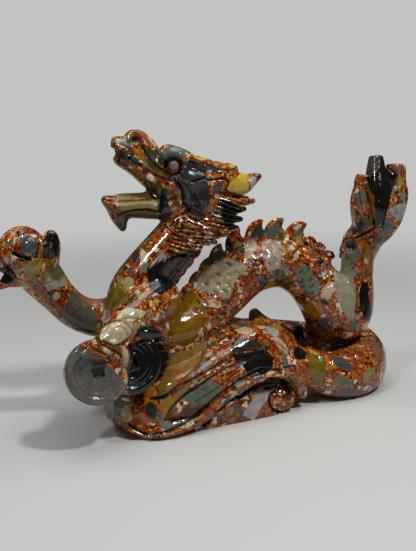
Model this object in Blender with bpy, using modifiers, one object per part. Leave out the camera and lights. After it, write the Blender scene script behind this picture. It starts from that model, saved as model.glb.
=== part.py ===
"""Dragon carved as one stone, of polished brecciated jasper, riding over carved water.

The head faces -X with its mouth open. One forepaw is held up in front of the chest, the other
rests on two coins, the body rises in an arch with a crest of fins, and a hind foot stands up at
the rear. The tail comes round the end of the base and ends behind the wave.
Metres, +Z up. The origin is the middle of the flat underside, and the front faces -Y.
"""
import math

import bpy
import bmesh
import numpy as np
from mathutils import Matrix, Vector

# The free form: every station below is drawn on a figure 390 units long
FIGURE_LENGTH = 0.390      # raised paw to the outer toe of the hind foot
UNIT = FIGURE_LENGTH / 390

# Sizes set by themselves
COIN_DIAMETER = 0.053
COIN_THICKNESS = 0.011
COIN_RIM_WIDTH = 0.0035
COIN_RIM_HEIGHT = 0.0014
COIN_HOLE_WIDTH = 0.010
COIN_HOLE_RIM = 0.0016
COIN_SIDES = 40
EYE_DIAMETER = 0.0085
NOSTRIL_DIAMETER = 0.0080
NOSTRIL_DEPTH = 0.0030
MUZZLE_HOLLOW_WIDTH = 0.0160
MUZZLE_HOLLOW_DEPTH = 0.0030
FIN_HEIGHT = 0.0185
FIN_SPACING = 0.0142
FIN_THICKNESS = 0.0064
NECK_FIN_HEIGHT = 0.0080
NECK_FIN_SPACING = 0.0105
REAR_FIN_HEIGHT = 0.0085
REAR_FIN_SPACING = 0.0108
LOCK_THICKNESS = 0.0062
GROOVE_WIDTH = 0.0044
GROOVE_DEPTH = 0.0018
# Fineness of the carved surface
MASS_VOXEL = 2.5 * UNIT
DETAIL_VOXEL = 1.6 * UNIT
SURFACE_TRIANGLES = 9500

# The trunk from the back of the head over chest and arch to the rear end of the base.
# A station is x, y, z, half thickness in the upright plane and half thickness across it.
TRUNK = (
    (-18, 0, 197, 19, 18), (-34, 0, 180, 19, 20), (-51, 0, 162, 19.5, 20), (-66, 0, 147, 20, 20),
    (-80, 0, 132, 21, 21), (-93, 0, 116, 21, 23), (-95, -2, 99, 22, 26), (-80, -4, 82, 21.5, 27),
    (-54, -5, 80, 21.5, 26), (-31, -4, 88.5, 22, 24), (-8, -2, 105, 23.5, 23), (22, 0, 125, 24, 23),
    (54, 0, 128, 23.5, 23), (80, 0, 116, 24.5, 23), (100, 2, 96, 26, 24), (118, 8, 70, 27, 25),
    (134, 18, 44, 27, 26),
)
# Stretches of the trunk's length that the fins cover
NECK_FINS = (0.10, 0.25)
ARCH_FINS = (0.476, 0.745)
REAR_FINS = (0.745, 0.82)

# The head has its own upright plane, turned a little away from the viewer's side.
HEAD_PLACE = (-45, 0, 0)
HEAD_TURN = math.radians(10)

COIN_PLACES = (
    ((-144, -51, 67), (-0.25, -0.90, 0.35)),
    ((-107, -47, 68), (0.28, -0.90, 0.28)),
)

# Grooves of the wave, drawn as they show from the front left
WAVE_FACING = (0.40, 0.88, -0.23)
WAVE_GROOVES = (
    ((-98, -50, 36), (-85, -52, 35), (-70, -50, 43), (-47, -50, 51), (-17, -48, 61)),
    ((-86, -60, 17), (-82, -60, 26), (-69, -58, 36), (-42, -56, 48), (-9, -52, 57)),
    ((-82, -60, 18), (-65, -60, 16), (-51, -60, 20), (-23, -60, 36), (-2, -58, 46), (34, -54, 47)),
)
# Grooves of each side of the head, in its own plane: forward, side, up
HEAD_GROOVES = (
    ((56, 14, 182), (40, 14, 186), (24, 15, 184)),
    ((46, 12, 240), (40, 13, 232), (27, 15, 218), (16, 18, 212)),
    ((2, 22, 214), (-1, 23, 204), (-8, 23, 194)),
)


def along(rows, steps):
    """Rows read from a smooth curve through the given ones, with steps to each stretch."""
    rows = np.array(rows, float)
    padded = np.vstack([2 * rows[0] - rows[1], rows, 2 * rows[-1] - rows[-2]])
    result = []
    for before, start, end, after in zip(padded, padded[1:], padded[2:], padded[3:]):
        for step in range(steps):
            share = step / steps
            linear = (end - before) * share
            square = (2 * before - 5 * start + 4 * end - after) * share ** 2
            cube = (3 * start - before - 3 * end + after) * share ** 3
            result.append(start + 0.5 * (linear + square + cube))
    result.append(rows[-1])
    return np.array(result)


def loft(form, rows, across=(0, 1, 0), sides=16, steps=3, boxy=2.0, dome=1.0, place=None):
    """Adds a closed form whose oval sections follow the rows, with domed ends."""
    rows = [row if len(row) == 5 else (*row, row[3]) for row in rows]
    path = along(rows, steps)
    path[:, 3:] = np.maximum(path[:, 3:], 0.4)
    points = path[:, :3]
    tangents = np.gradient(points, axis=0)
    stations = []
    for turn in (0, 30, 60):
        spread = math.sin(math.radians(turn))
        reach = math.cos(math.radians(turn)) * dome
        stations.append((0, -reach, spread))
    stations.extend((index, 0, 1) for index in range(len(path)))
    for turn in (60, 30, 0):
        spread = math.sin(math.radians(turn))
        reach = math.cos(math.radians(turn)) * dome
        stations.append((len(path) - 1, reach, spread))
    place = place or Matrix()
    power = 2 / boxy
    rings = []
    for index, reach, spread in stations:
        tangent = Vector(tangents[index]).normalized()
        side = Vector(across).cross(tangent).normalized()
        lift = tangent.cross(side)
        high, wide = path[index, 3], path[index, 4]
        middle = Vector(points[index]) + tangent * reach * min(high, wide)
        if spread == 0:
            rings.append([form.verts.new(UNIT * (place @ middle))])
            continue
        ring = []
        for number in range(sides):
            turn = 2 * math.pi * number / sides
            east = math.copysign(abs(math.cos(turn)) ** power, math.cos(turn)) * high * spread
            north = math.copysign(abs(math.sin(turn)) ** power, math.sin(turn)) * wide * spread
            ring.append(form.verts.new(UNIT * (place @ (middle + side * east + lift * north))))
        rings.append(ring)
    for near, far in zip(rings, rings[1:]):
        for number in range(sides):
            after = (number + 1) % sides
            if len(near) == 1:
                form.faces.new((near[0], far[after], far[number]))
            elif len(far) == 1:
                form.faces.new((near[number], near[after], far[0]))
            else:
                form.faces.new((near[number], near[after], far[after], far[number]))


def ball(form, centre, radius, place=None):
    """Adds a ball at a drawn point, with its radius in metres."""
    place = place or Matrix()
    spot = UNIT * (place @ Vector(centre))
    bmesh.ops.create_icosphere(form, subdivisions=3, radius=radius, matrix=Matrix.Translation(spot))


def head_matrix():
    """From the head's plane (forward, towards the viewer's side, up) to the figure."""
    forward = Vector((-math.cos(HEAD_TURN), math.sin(HEAD_TURN), 0))
    side = Vector((-math.sin(HEAD_TURN), -math.cos(HEAD_TURN), 0))
    turned = Matrix((forward, side, Vector((0, 0, 1)))).transposed().to_4x4()
    return Matrix.Translation(Vector(HEAD_PLACE)) @ turned


def add_trunk(form):
    loft(form, TRUNK, sides=20)


def add_forelegs(form):
    """The raised far leg with its fist, and the near leg that leans on the coins."""
    loft(form, ((-92, 8, 95, 22), (-110, 12, 91, 18.5), (-128, 14, 93, 16.5), (-143, 15, 101, 15.5),
                (-156, 14, 115, 15.5), (-168, 12, 131, 18), (-178, 10, 145, 19.5)))
    loft(form, ((-176, 8, 141, 17), (-184, 4, 150, 21), (-188, 3, 160, 19)))
    loft(form, ((-78, -12, 108, 24), (-95, -22, 104, 20), (-110, -34, 100, 16), (-122, -42, 96, 12)))


def add_hind_leg(form):
    loft(form, ((96, -10, 96, 25, 20), (110, -16, 82, 26, 20), (122, -17, 70, 22, 19),
                (131, -16, 76, 18, 18), (133, -15, 94, 17, 17), (133, -14, 114, 15.5, 16),
                (134, -14, 134, 16.5, 16), (143, -14, 152, 18, 16), (152, -14, 168, 21, 17),
                (156, -14, 182, 20, 17)))
    loft(form, ((118, -14, 138, 6), (128, -14, 144, 13), (138, -14, 150, 14)))


def add_tail(form):
    loft(form, ((128, 18, 52, 24, 24), (144, 15, 34, 24, 25), (148, -6, 25, 24, 25),
                (133, -29, 21, 23, 25), (110, -36, 20, 23, 24), (88, -38, 24, 20, 21),
                (68, -35, 33, 18, 18), (52, -26, 44, 17, 17), (42, -8, 58, 14, 14),
                (36, 6, 69, 10, 10), (34, 12, 77, 6, 6)), across=(0, 0, 1), sides=18, boxy=2.3)


def add_base(form):
    """The block of water under the figure, with an underside that the cut makes flat.

    Its front stops short of the tail coil, behind which a narrower block runs on to the end.
    """
    loft(form, ((-115, -1, 6, 15, 26), (-110, -1, 6, 19, 40), (-100, -1, 6, 21, 52),
                (-64, -1, 6, 22, 55), (-20, -1, 6, 24, 55), (18, -1, 6, 24, 54),
                (34, 0, 6, 20, 49)), sides=32, boxy=4.5, dome=0.3)
    loft(form, ((30, 31, 6, 20, 24), (80, 31, 6, 20, 24), (104, 29, 6, 20, 24),
                (128, 23, 6, 18, 20)), sides=24, boxy=4, dome=0.3)


def add_wave(form):
    """The wave in front: two swells one above the other, the rolled lip and its scroll."""
    loft(form, ((-90, -32, 32, 9, 15), (-71, -35, 41, 11, 18), (-46, -36, 45, 14, 20),
                (-18, -32, 55, 17, 20), (8, -28, 61, 18, 20), (32, -28, 56, 17, 18),
                (49, -30, 43, 13, 15)))
    loft(form, ((-111, -24, 22, 12, 16), (-94, -36, 17, 16, 19), (-62, -40, 24, 18, 18),
                (-34, -40, 36, 17, 18), (-4, -40, 47, 15, 17), (26, -39, 46, 14, 16),
                (46, -39, 33, 11, 15), (53, -41, 18, 7.5, 11)))
    loft(form, ((-119, -22, 18, 5), (-113, -43, 11, 6), (-99, -52, 6, 6), (-78, -56, 6, 6),
                (-55, -56, 12, 6), (-31, -56, 23, 6), (-11, -55, 36, 5.5), (14, -54, 42, 5.5),
                (34, -52, 40, 5.5), (48, -51, 28, 5.5), (53, -49, 13, 5)))
    loft(form, ((33, -30, 12, 11), (33, -46, 12.5, 12.5)), across=(0, 0, 1))
    loft(form, ((-96, -8, 46, 18, 24), (-60, -8, 58, 16, 24), (-20, -8, 62, 15, 22),
                (16, -6, 62, 14, 20), (40, -4, 52, 12, 18)))


def add_back_water(form):
    """Plainer swells behind, which the front view hides."""
    loft(form, ((-108, 22, 26, 18, 18), (-70, 34, 36, 20, 18), (-20, 36, 46, 22, 18),
                (34, 34, 46, 20, 18), (84, 32, 38, 20, 20), (124, 26, 30, 20, 20)))
    loft(form, ((-84, 20, 50, 20, 20), (-40, 20, 58, 18, 20), (6, 18, 60, 16, 18),
                (40, 18, 50, 14, 16)))


def add_paw_toes(form):
    """Toes of the near paw, bent over the rim of the coins."""
    loft(form, ((-124, -44, 97, 11.5), (-127, -47, 95, 11)))
    for toe in (((-124, -45, 98, 7), (-138, -53, 93, 6), (-149, -58, 89, 4.5), (-157, -60, 86, 2)),
                ((-124, -47, 93, 7), (-131, -56, 89, 5.5), (-138, -60, 85, 4), (-143, -61, 82, 2)),
                ((-118, -46, 90, 7), (-119, -54, 83, 5.5), (-119, -58, 75, 4.5), (-120, -59, 68, 2)),
                ((-110, -35, 90, 8), (-98, -38, 91, 7.5), (-86, -38, 88, 6), (-78, -35, 81, 3))):
        loft(form, toe)


def add_raised_toes(form):
    """Fingers of the raised fist, with one thumb up and one claw below."""
    for toe in (((-174, 8, 148, 12), (-182, 2, 165, 13), (-192, -3, 168, 12), (-201, -7, 160, 9.5),
                 (-204, -9, 150, 5)),
                ((-170, 2, 150, 11), (-175, -6, 163, 10), (-183, -12, 166, 9), (-190, -15, 158, 6)),
                ((-165, 9, 138, 9), (-163, 8, 150, 8), (-162, 7, 161, 8), (-162, 7, 168, 6.5)),
                ((-180, 4, 142, 13), (-192, 0, 139, 9), (-201, -3, 137, 6), (-207, -5, 133, 2.5)),
                ((-180, 16, 150, 12), (-190, 16, 162, 11), (-199, 12, 156, 8), (-202, 8, 146, 4))):
        loft(form, toe)


def add_foot_toes(form):
    """Three upright toes of the hind foot and the spur at its heel."""
    for toe in (((138, -20, 158, 12), (129, -22, 174, 8.5), (126, -24, 190, 8), (126, -23, 203, 6.5),
                 (128, -22, 213, 3)),
                ((146, -26, 160, 13), (143, -30, 180, 14), (142, -28, 200, 13.5), (143, -24, 214, 10),
                 (144, -22, 226, 5)),
                ((164, -14, 158, 14), (171, -14, 174, 13), (174, -14, 190, 13), (177, -12, 204, 10),
                 (180, -9, 213, 6))):
        loft(form, toe)
    loft(form, ((128, -10, 146, 9), (121, -10, 137, 5), (117, -10, 131, 2.5)))


def add_coins(form):
    """Two thick coins, each with a raised rim and a framed square hole."""
    radius = COIN_DIAMETER / 2
    for centre, facing in COIN_PLACES:
        normal = Vector(facing).normalized()
        turned = normal.to_track_quat("Z", "Y").to_matrix().to_4x4()
        seat = Matrix.Translation(UNIT * Vector(centre)) @ turned
        bmesh.ops.create_cone(form, cap_ends=True, segments=COIN_SIDES, radius1=radius,
                              radius2=radius, depth=COIN_THICKNESS, matrix=seat)
        face = COIN_THICKNESS / 2
        rim = radius - COIN_RIM_WIDTH
        step = 2 * math.pi / COIN_SIDES
        for number in range(COIN_SIDES):
            spot = Matrix.Rotation(number * step, 4, "Z") @ Matrix.Translation((rim, 0, face))
            size = Matrix.Diagonal((COIN_RIM_WIDTH, 1.2 * rim * step, COIN_RIM_HEIGHT * 2, 1))
            bmesh.ops.create_cube(form, size=1, matrix=seat @ spot @ size)
        for number in range(4):
            spot = Matrix.Rotation(number * math.pi / 2, 4, "Z") @ Matrix.Translation(
                ((COIN_HOLE_WIDTH + COIN_HOLE_RIM) / 2, 0, face))
            size = Matrix.Diagonal((COIN_HOLE_RIM, COIN_HOLE_WIDTH + 2 * COIN_HOLE_RIM,
                                    COIN_RIM_HEIGHT * 2, 1))
            bmesh.ops.create_cube(form, size=1, matrix=seat @ spot @ size)


def add_skull(form, place):
    """Skull, jaws and cheeks, in the head's own plane: forward, side, up."""
    across = (0, 1, 0)
    loft(form, ((-42, 0, 197, 13, 14), (-26, 0, 203, 21, 20), (-6, 0, 208, 23, 21.5),
                (10, 0, 212, 21, 19), (22, 0, 218, 17, 16)), across, place=place)
    loft(form, ((6, 0, 214, 20, 17), (22, 0, 217, 16.5, 15.5), (36, 0, 227, 14.5, 13.5),
                (48, 0, 234, 13, 12.5), (56, 0, 238, 12, 13), (60, 0, 238, 11.5, 13.5)),
         across, dome=0.15, place=place)
    loft(form, ((30, 0, 238, 9, 9), (40, 0, 247, 8.5, 11), (46, 0, 246, 6, 10)), across, place=place)
    loft(form, ((2, 0, 194, 14, 16), (22, 0, 190, 12.5, 14), (38, 0, 190, 11.5, 12),
                (54, 0, 191, 10.5, 11), (63, 0, 193, 8, 10), (68, 0, 196, 4.5, 8)),
         across, place=place)
    loft(form, ((58, 0, 186, 9, 8), (56, 0, 178, 7, 6.5), (54, 0, 171, 4, 4)), across, place=place)


def add_head_sides(form, place):
    """Brow, eye, lip ridge, ear, horn and locks, on both sides of the head."""
    for hand in (1, -1):
        def row(forward, side, up, high, wide=None):
            return (forward, side * hand, up, high, wide or high)
        loft(form, (row(20, 9, 231, 4), row(12, 11, 235, 6.5), (2, 14 * hand, 233, 5.5, 5.5),
                    row(-8, 16, 228, 4)), place=place)
        ball(form, (12, 17.5 * hand, 225.5), EYE_DIAMETER / 2, place)
        loft(form, (row(50, 11, 233, 3), row(38, 12.5, 221, 3.2), row(24, 14, 211, 3.4),
                    row(12, 17, 206, 3.6), row(6, 19, 198, 3.6), row(6, 18, 188, 3)), place=place)
        loft(form, (row(4, 19, 219, 7, 5), row(-8, 22, 212, 9, 5), row(-14, 23, 200, 8, 5),
                    row(-17, 21, 188, 4, 3)), place=place)
        loft(form, (row(2, 11, 226, 7), row(-14, 11, 224, 7.5), row(-28, 11, 218, 7.5),
                    row(-40, 11, 212, 6), row(-50, 11, 210, 3)), place=place)
        loft(form, (row(-26, 8, 217, 7), row(-38, 8, 219, 5.5), row(-46, 8, 223, 2)), place=place)
        loft(form, (row(-24, 10, 209, 12), row(-42, 8, 207, 11.5), row(-56, 6, 207, 7),
                    row(-66, 5, 209, 4), row(-73, 4, 212, 1.6)), place=place)


def add_mane(form, place):
    """Locks swept back from the cheeks, each a tapering strand beside the next."""
    thick = LOCK_THICKNESS / 2 / UNIT
    roots = ((-14, 199), (-14, 193), (-12, 187), (-9, 181), (-4, 176), (1, 172), (6, 169), (10, 167))
    tips = ((-66, 190), (-60, 183), (-54, 176), (-47, 168), (-38, 163), (-27, 156), (-14, 152),
            (0, 149))
    for hand in (1, -1):
        for number, ((root, root_up), (tip, tip_up)) in enumerate(zip(roots, tips)):
            side = 20 - 0.6 * number
            middle = (0.5 * root + 0.5 * tip, hand * (side + 1), 0.5 * (root_up + tip_up) - 3)
            loft(form, ((root + 6, hand * (side - 4), root_up + 3, thick, thick * 1.6),
                        (*middle, thick * 1.5, thick * 2),
                        (0.25 * root + 0.75 * tip, hand * (side - 5), 0.3 * root_up + 0.7 * tip_up - 2,
                         thick * 1.2, thick * 1.8),
                        (tip, hand * (side - 11), tip_up, thick * 0.5, thick * 0.6)), place=place)


def add_fins(form):
    """Hooked fins along the back: small on the neck, tall on the arch, knobs towards the rear."""
    path = along(TRUNK, 12)
    strides = np.linalg.norm(np.diff(path[:, :3], axis=0), axis=1)
    travelled = np.concatenate([[0], np.cumsum(strides)])
    half = FIN_THICKNESS / 2 / UNIT

    def stand(distance, height, width):
        centre = Vector([np.interp(distance, travelled, path[:, axis]) for axis in range(3)])
        ahead = Vector([np.interp(distance + 2, travelled, path[:, axis]) for axis in range(3)])
        forward = (ahead - centre).normalized()
        out = forward.cross(Vector((0, 1, 0)))
        root = centre + out * (np.interp(distance, travelled, path[:, 3]) - 3)
        rows = []
        for rise, lean, wide, thick in ((0, -0.10, 0.90, 1.5), (0.50, -0.05, 0.78, 1.1),
                                        (0.80, 0.14, 0.48, 0.8), (1.0, 0.55, 0.08, 0.3)):
            spot = root + out * (rise * (height + 3)) + forward * (lean * width)
            rows.append((*spot, wide * width, half * thick))
        loft(form, rows, sides=10, dome=0.3)

    for stretch, spacing, height, first in ((NECK_FINS, NECK_FIN_SPACING, NECK_FIN_HEIGHT, 0.8),
                                            (ARCH_FINS, FIN_SPACING, FIN_HEIGHT, 0.25),
                                            (REAR_FINS, REAR_FIN_SPACING, REAR_FIN_HEIGHT, 1)):
        begin, end = (share * travelled[-1] for share in stretch)
        count = max(1, round((end - begin) / (spacing / UNIT)))
        for number in range(count):
            share = (number + 0.5) / count
            grow = min(1, first + 1.2 * share)
            stand(begin + (end - begin) * share, height / UNIT * grow, spacing / UNIT)


def new_object(form, name):
    mesh = bpy.data.meshes.new(name)
    form.to_mesh(mesh)
    form.free()
    return bpy.data.objects.new(name, mesh)


def fused(source, name, voxel, smoothing, collection):
    """One skin round all closed forms of an object, evened out by a few smoothing steps."""
    collection.objects.link(source)
    remesh = source.modifiers.new("one skin", "REMESH")
    remesh.mode = "VOXEL"
    remesh.voxel_size = voxel
    smooth = source.modifiers.new("polish", "SMOOTH")
    smooth.factor = 0.5
    smooth.iterations = smoothing
    bpy.context.view_layer.update()
    graph = bpy.context.evaluated_depsgraph_get()
    mesh = bpy.data.meshes.new_from_object(source.evaluated_get(graph))
    mesh.name = name
    bpy.data.objects.remove(source)
    return mesh


def carve(mesh, grooves, hollows):
    """Presses grooves and round hollows into the skin, along its normals.

    A groove is its route and the direction that it is cut in: only skin that faces the cutter
    gives way. A hollow is its centre, its radius and its depth.
    """
    count = len(mesh.vertices)
    points = np.empty(count * 3)
    mesh.vertices.foreach_get("co", points)
    points = points.reshape(-1, 3)
    normals = np.empty(count * 3)
    mesh.vertex_normals.foreach_get("vector", normals)
    normals = normals.reshape(-1, 3)
    press = np.zeros(count)
    for route, facing in grooves:
        facing = np.array(Vector(facing).normalized())
        flat = points - np.outer(points @ facing, facing)
        route = along(route, 8)[:, :3] * UNIT
        route = route - np.outer(route @ facing, facing)
        gap = np.full(count, np.inf)
        for start, end in zip(route, route[1:]):
            span = end - start
            share = np.clip((flat - start) @ span / (span @ span), 0, 1)
            gap = np.minimum(gap, np.linalg.norm(flat - start - share[:, None] * span, axis=1))
        open_skin = np.clip(-2 * (normals @ facing), 0, 1)
        bowl = np.clip(1 - (2 * gap / GROOVE_WIDTH) ** 2, 0, 1)
        press = np.maximum(press, GROOVE_DEPTH * bowl * open_skin)
    for centre, radius, depth in hollows:
        gap = np.linalg.norm(points - np.array(centre) * UNIT, axis=1)
        press = np.maximum(press, depth * np.clip(1 - (gap / radius) ** 2, 0, 1))
    points = points - normals * press[:, None]
    mesh.vertices.foreach_set("co", points.ravel())
    mesh.update()


def cuts(head_place):
    """All grooves and hollows of the figure, in drawn places."""
    grooves = [(route, WAVE_FACING) for route in WAVE_GROOVES]
    hollows = [(head_place @ Vector((62, 0, 233)), MUZZLE_HOLLOW_WIDTH / 2, MUZZLE_HOLLOW_DEPTH)]
    for hand in (1, -1):
        inward = head_place.to_3x3() @ Vector((0, -hand, 0))
        for route in HEAD_GROOVES:
            placed = [tuple(head_place @ Vector((row[0], hand * row[1], row[2]))) for row in route]
            grooves.append((placed, inward))
        nostril = head_place @ Vector((44, 10 * hand, 246))
        hollows.append((nostril, NOSTRIL_DIAMETER / 2, NOSTRIL_DEPTH))
    return grooves, hollows


def stone_material():
    material = bpy.data.materials.new("polished brecciated jasper")
    material.use_nodes = True
    shader = material.node_tree.nodes["Principled BSDF"]
    shader.inputs["Base Color"].default_value = (0.26, 0.10, 0.04, 1)
    shader.inputs["Roughness"].default_value = 0.12
    shader.inputs["Metallic"].default_value = 0.0
    return material


def add_floor_cutter(collection):
    """A block whose top is the plane of the underside."""
    bpy.ops.mesh.primitive_cube_add(size=1)
    cutter = bpy.context.object
    cutter.name = "underside_cutter"
    cutter.data.transform(Matrix.Translation((0, 0, -0.5)))
    cutter.data.transform(Matrix.Scale(2 * FIGURE_LENGTH, 4))
    for owner in list(cutter.users_collection):
        owner.objects.unlink(cutter)
    collection.objects.link(cutter)
    cutter.hide_render = True
    cutter.display_type = "WIRE"
    return cutter


def build():
    for leftover in list(bpy.data.objects):
        bpy.data.objects.remove(leftover)
    dragon = bpy.data.collections.new("jasper dragon carving")
    cutters = bpy.data.collections.new("cutters")
    for collection in (dragon, cutters):
        bpy.context.scene.collection.children.link(collection)

    mass = bmesh.new()
    add_trunk(mass)
    add_forelegs(mass)
    add_hind_leg(mass)
    add_tail(mass)
    add_base(mass)
    add_wave(mass)
    add_back_water(mass)
    head_place = head_matrix()
    add_skull(mass, head_place)
    skin = fused(new_object(mass, "mass"), "mass", MASS_VOXEL, 6, dragon)

    detail = bmesh.new()
    detail.from_mesh(skin)
    add_paw_toes(detail)
    add_raised_toes(detail)
    add_foot_toes(detail)
    add_coins(detail)
    add_head_sides(detail, head_place)
    add_mane(detail, head_place)
    add_fins(detail)
    mesh = fused(new_object(detail, "detail"), "dragon_carving", DETAIL_VOXEL, 2, dragon)
    carve(mesh, *cuts(head_place))

    carving = bpy.data.objects.new("dragon_carving", mesh)
    dragon.objects.link(carving)
    carving.data.materials.append(stone_material())
    thin = carving.modifiers.new("facets", "DECIMATE")
    triangles = sum(len(face.vertices) - 2 for face in mesh.polygons)
    thin.ratio = min(1.0, SURFACE_TRIANGLES / triangles)
    cut = carving.modifiers.new("flat underside", "BOOLEAN")
    cut.operation = "DIFFERENCE"
    cut.solver = "EXACT"
    cut.object = add_floor_cutter(cutters)


build()
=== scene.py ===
"""Looks of a dragon carved as one stone, of polished brecciated jasper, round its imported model.

The carving is modelled here a second time from the same stations as its solid, at a finer grain,
with the grooves, scales, coin rims and mane locks that are too fine for the solid. Lengths in the
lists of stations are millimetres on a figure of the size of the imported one.
"""

import math
import random

import bmesh
import bpy
import numpy as np
from bpy.props import FloatProperty, FloatVectorProperty, IntProperty, PointerProperty
from bpy.types import Operator, Panel, PropertyGroup
from mathutils import Matrix, Vector
from mathutils.bvhtree import BVHTree


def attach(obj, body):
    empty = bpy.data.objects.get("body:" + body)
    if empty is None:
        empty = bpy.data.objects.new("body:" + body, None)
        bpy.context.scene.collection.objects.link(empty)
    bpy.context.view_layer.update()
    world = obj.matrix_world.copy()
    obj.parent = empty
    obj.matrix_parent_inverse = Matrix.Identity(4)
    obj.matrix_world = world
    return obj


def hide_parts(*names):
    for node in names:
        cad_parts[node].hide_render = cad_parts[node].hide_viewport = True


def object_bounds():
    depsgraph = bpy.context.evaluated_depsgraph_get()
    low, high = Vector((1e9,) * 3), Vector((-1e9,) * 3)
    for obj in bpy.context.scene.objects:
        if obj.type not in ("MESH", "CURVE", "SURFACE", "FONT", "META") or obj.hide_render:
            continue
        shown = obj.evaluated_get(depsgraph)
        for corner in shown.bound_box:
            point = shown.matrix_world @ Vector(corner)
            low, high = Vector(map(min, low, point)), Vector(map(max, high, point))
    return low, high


bl_info = {
    "name": "Jasper dragon",
    "version": (1, 0, 0),
    "blender": (4, 5, 0),
    "location": "View3D > Sidebar > Dragon",
    "description": "A dragon carved from one block of polished brecciated jasper",
    "category": "Add Mesh",
}

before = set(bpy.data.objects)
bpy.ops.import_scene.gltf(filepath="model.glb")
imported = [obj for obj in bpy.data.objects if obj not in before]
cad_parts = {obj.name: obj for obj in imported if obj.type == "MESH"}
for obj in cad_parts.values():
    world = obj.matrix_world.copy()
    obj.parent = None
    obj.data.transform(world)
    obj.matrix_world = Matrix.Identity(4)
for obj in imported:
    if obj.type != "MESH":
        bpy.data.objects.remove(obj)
CAD_LOW, CAD_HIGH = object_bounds()
DRAWN_LENGTH = 397                                   # millimetres from paw to foot, as drawn
UNIT = (CAD_HIGH.x - CAD_LOW.x) / DRAWN_LENGTH

# The camera, at the photograph's place, with its frame in pixels
FRAME_WIDTH = 416
FRAME_HEIGHT = 551
CAMERA_PLACE = Vector((-0.304, -0.618, 0.285))
CAMERA_TURN = (math.radians(90 - 13.4), 0, math.radians(-24.6))
LENS = 50
SENSOR = 36
FOCAL_PIXELS = LENS / SENSOR * FRAME_HEIGHT
CAMERA_AXES = Matrix.Rotation(CAMERA_TURN[2], 3, "Z") @ Matrix.Rotation(CAMERA_TURN[0], 3, "X")

# The trunk: x, y, z, half thickness in the upright plane and half thickness across it
TRUNK = (
    (-18, 0, 197, 19, 18), (-34, 0, 180, 19, 20), (-51, 0, 162, 19.5, 20), (-66, 0, 147, 20, 20),
    (-80, 0, 132, 21, 21), (-93, 0, 116, 21, 23), (-95, -2, 99, 22, 26), (-80, -4, 82, 21.5, 27),
    (-54, -5, 80, 21.5, 26), (-31, -4, 88.5, 22, 24), (-8, -2, 105, 23.5, 23), (22, 0, 125, 24, 23),
    (54, 0, 128, 23.5, 23), (80, 0, 116, 24.5, 23), (100, 2, 96, 26, 24), (118, 8, 70, 27, 25),
    (134, 18, 44, 27, 26),
)
# Stretches of the trunk, as shares of its length
NECK_FINS = (0.10, 0.25)
ARCH_FINS = (0.476, 0.745)
REAR_FINS = (0.745, 0.82)
SCALED_BACK = (0.46, 0.86)

# The head's own plane: its place and turn, and in it (forward, towards the viewer, up) the near eye
HEAD_PLACE = (-45, 0, 0)
HEAD_TURN = math.radians(10)
EYE_SPOT = (12, 18, 225.5)

# A fin from root to tip: rise in fin heights, lean and half width in spacings, and its thickness as a
# share of that at half height
FIN_STATIONS = ((0, -0.10, 0.90, 1.5), (0.50, -0.05, 0.78, 1.0), (0.80, 0.14, 0.48, 0.7),
                (1.0, 0.55, 0.08, 0.25))
# The scales: rows on each flank, and in degrees the first row's turn from the crest, the step to the
# next row, and half the arc of a scale
SCALE_ROWS, SCALE_FIRST, SCALE_STEP, SCALE_ARC = 4, 24, 29, 48
SCALE_WIDTH = 1.7                                    # in depths
SCALE_REACH = 4                                      # millimetres from a row's oval to the skin, at most

# Rounds of smoothing of the roughed-out mass and of the finished skin, and where its edges stay sharp
MASS_SMOOTHING, SKIN_SMOOTHING = 16, 1
SHARP_EDGE = math.radians(60)

# Each coin: its middle, the way it faces and its number of ridges inside the rim
COIN_PLACES = (
    ((-143, -51, 66), (-0.06, -0.95, 0.27), 1),
    ((-113, -43, 67), (-0.02, -0.95, 0.30), 2),
)
COIN_HOLE_TURN = 0.16                                # radians
COIN_FRAME = 1.3                                     # side of the hole's frame, in sides of the hole
# Steps from a coin's edge inwards and upwards, in rim widths and reliefs, then those of one ridge
COIN_RIM = ((0.28, 0.7), (0.45, 0.4), (0.27, 0), (0.16, -1), (0.2, 0))
COIN_RIDGE = ((0.14, 0.7), (0.2, 0), (0.14, -0.7), (0.22, 0))

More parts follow.
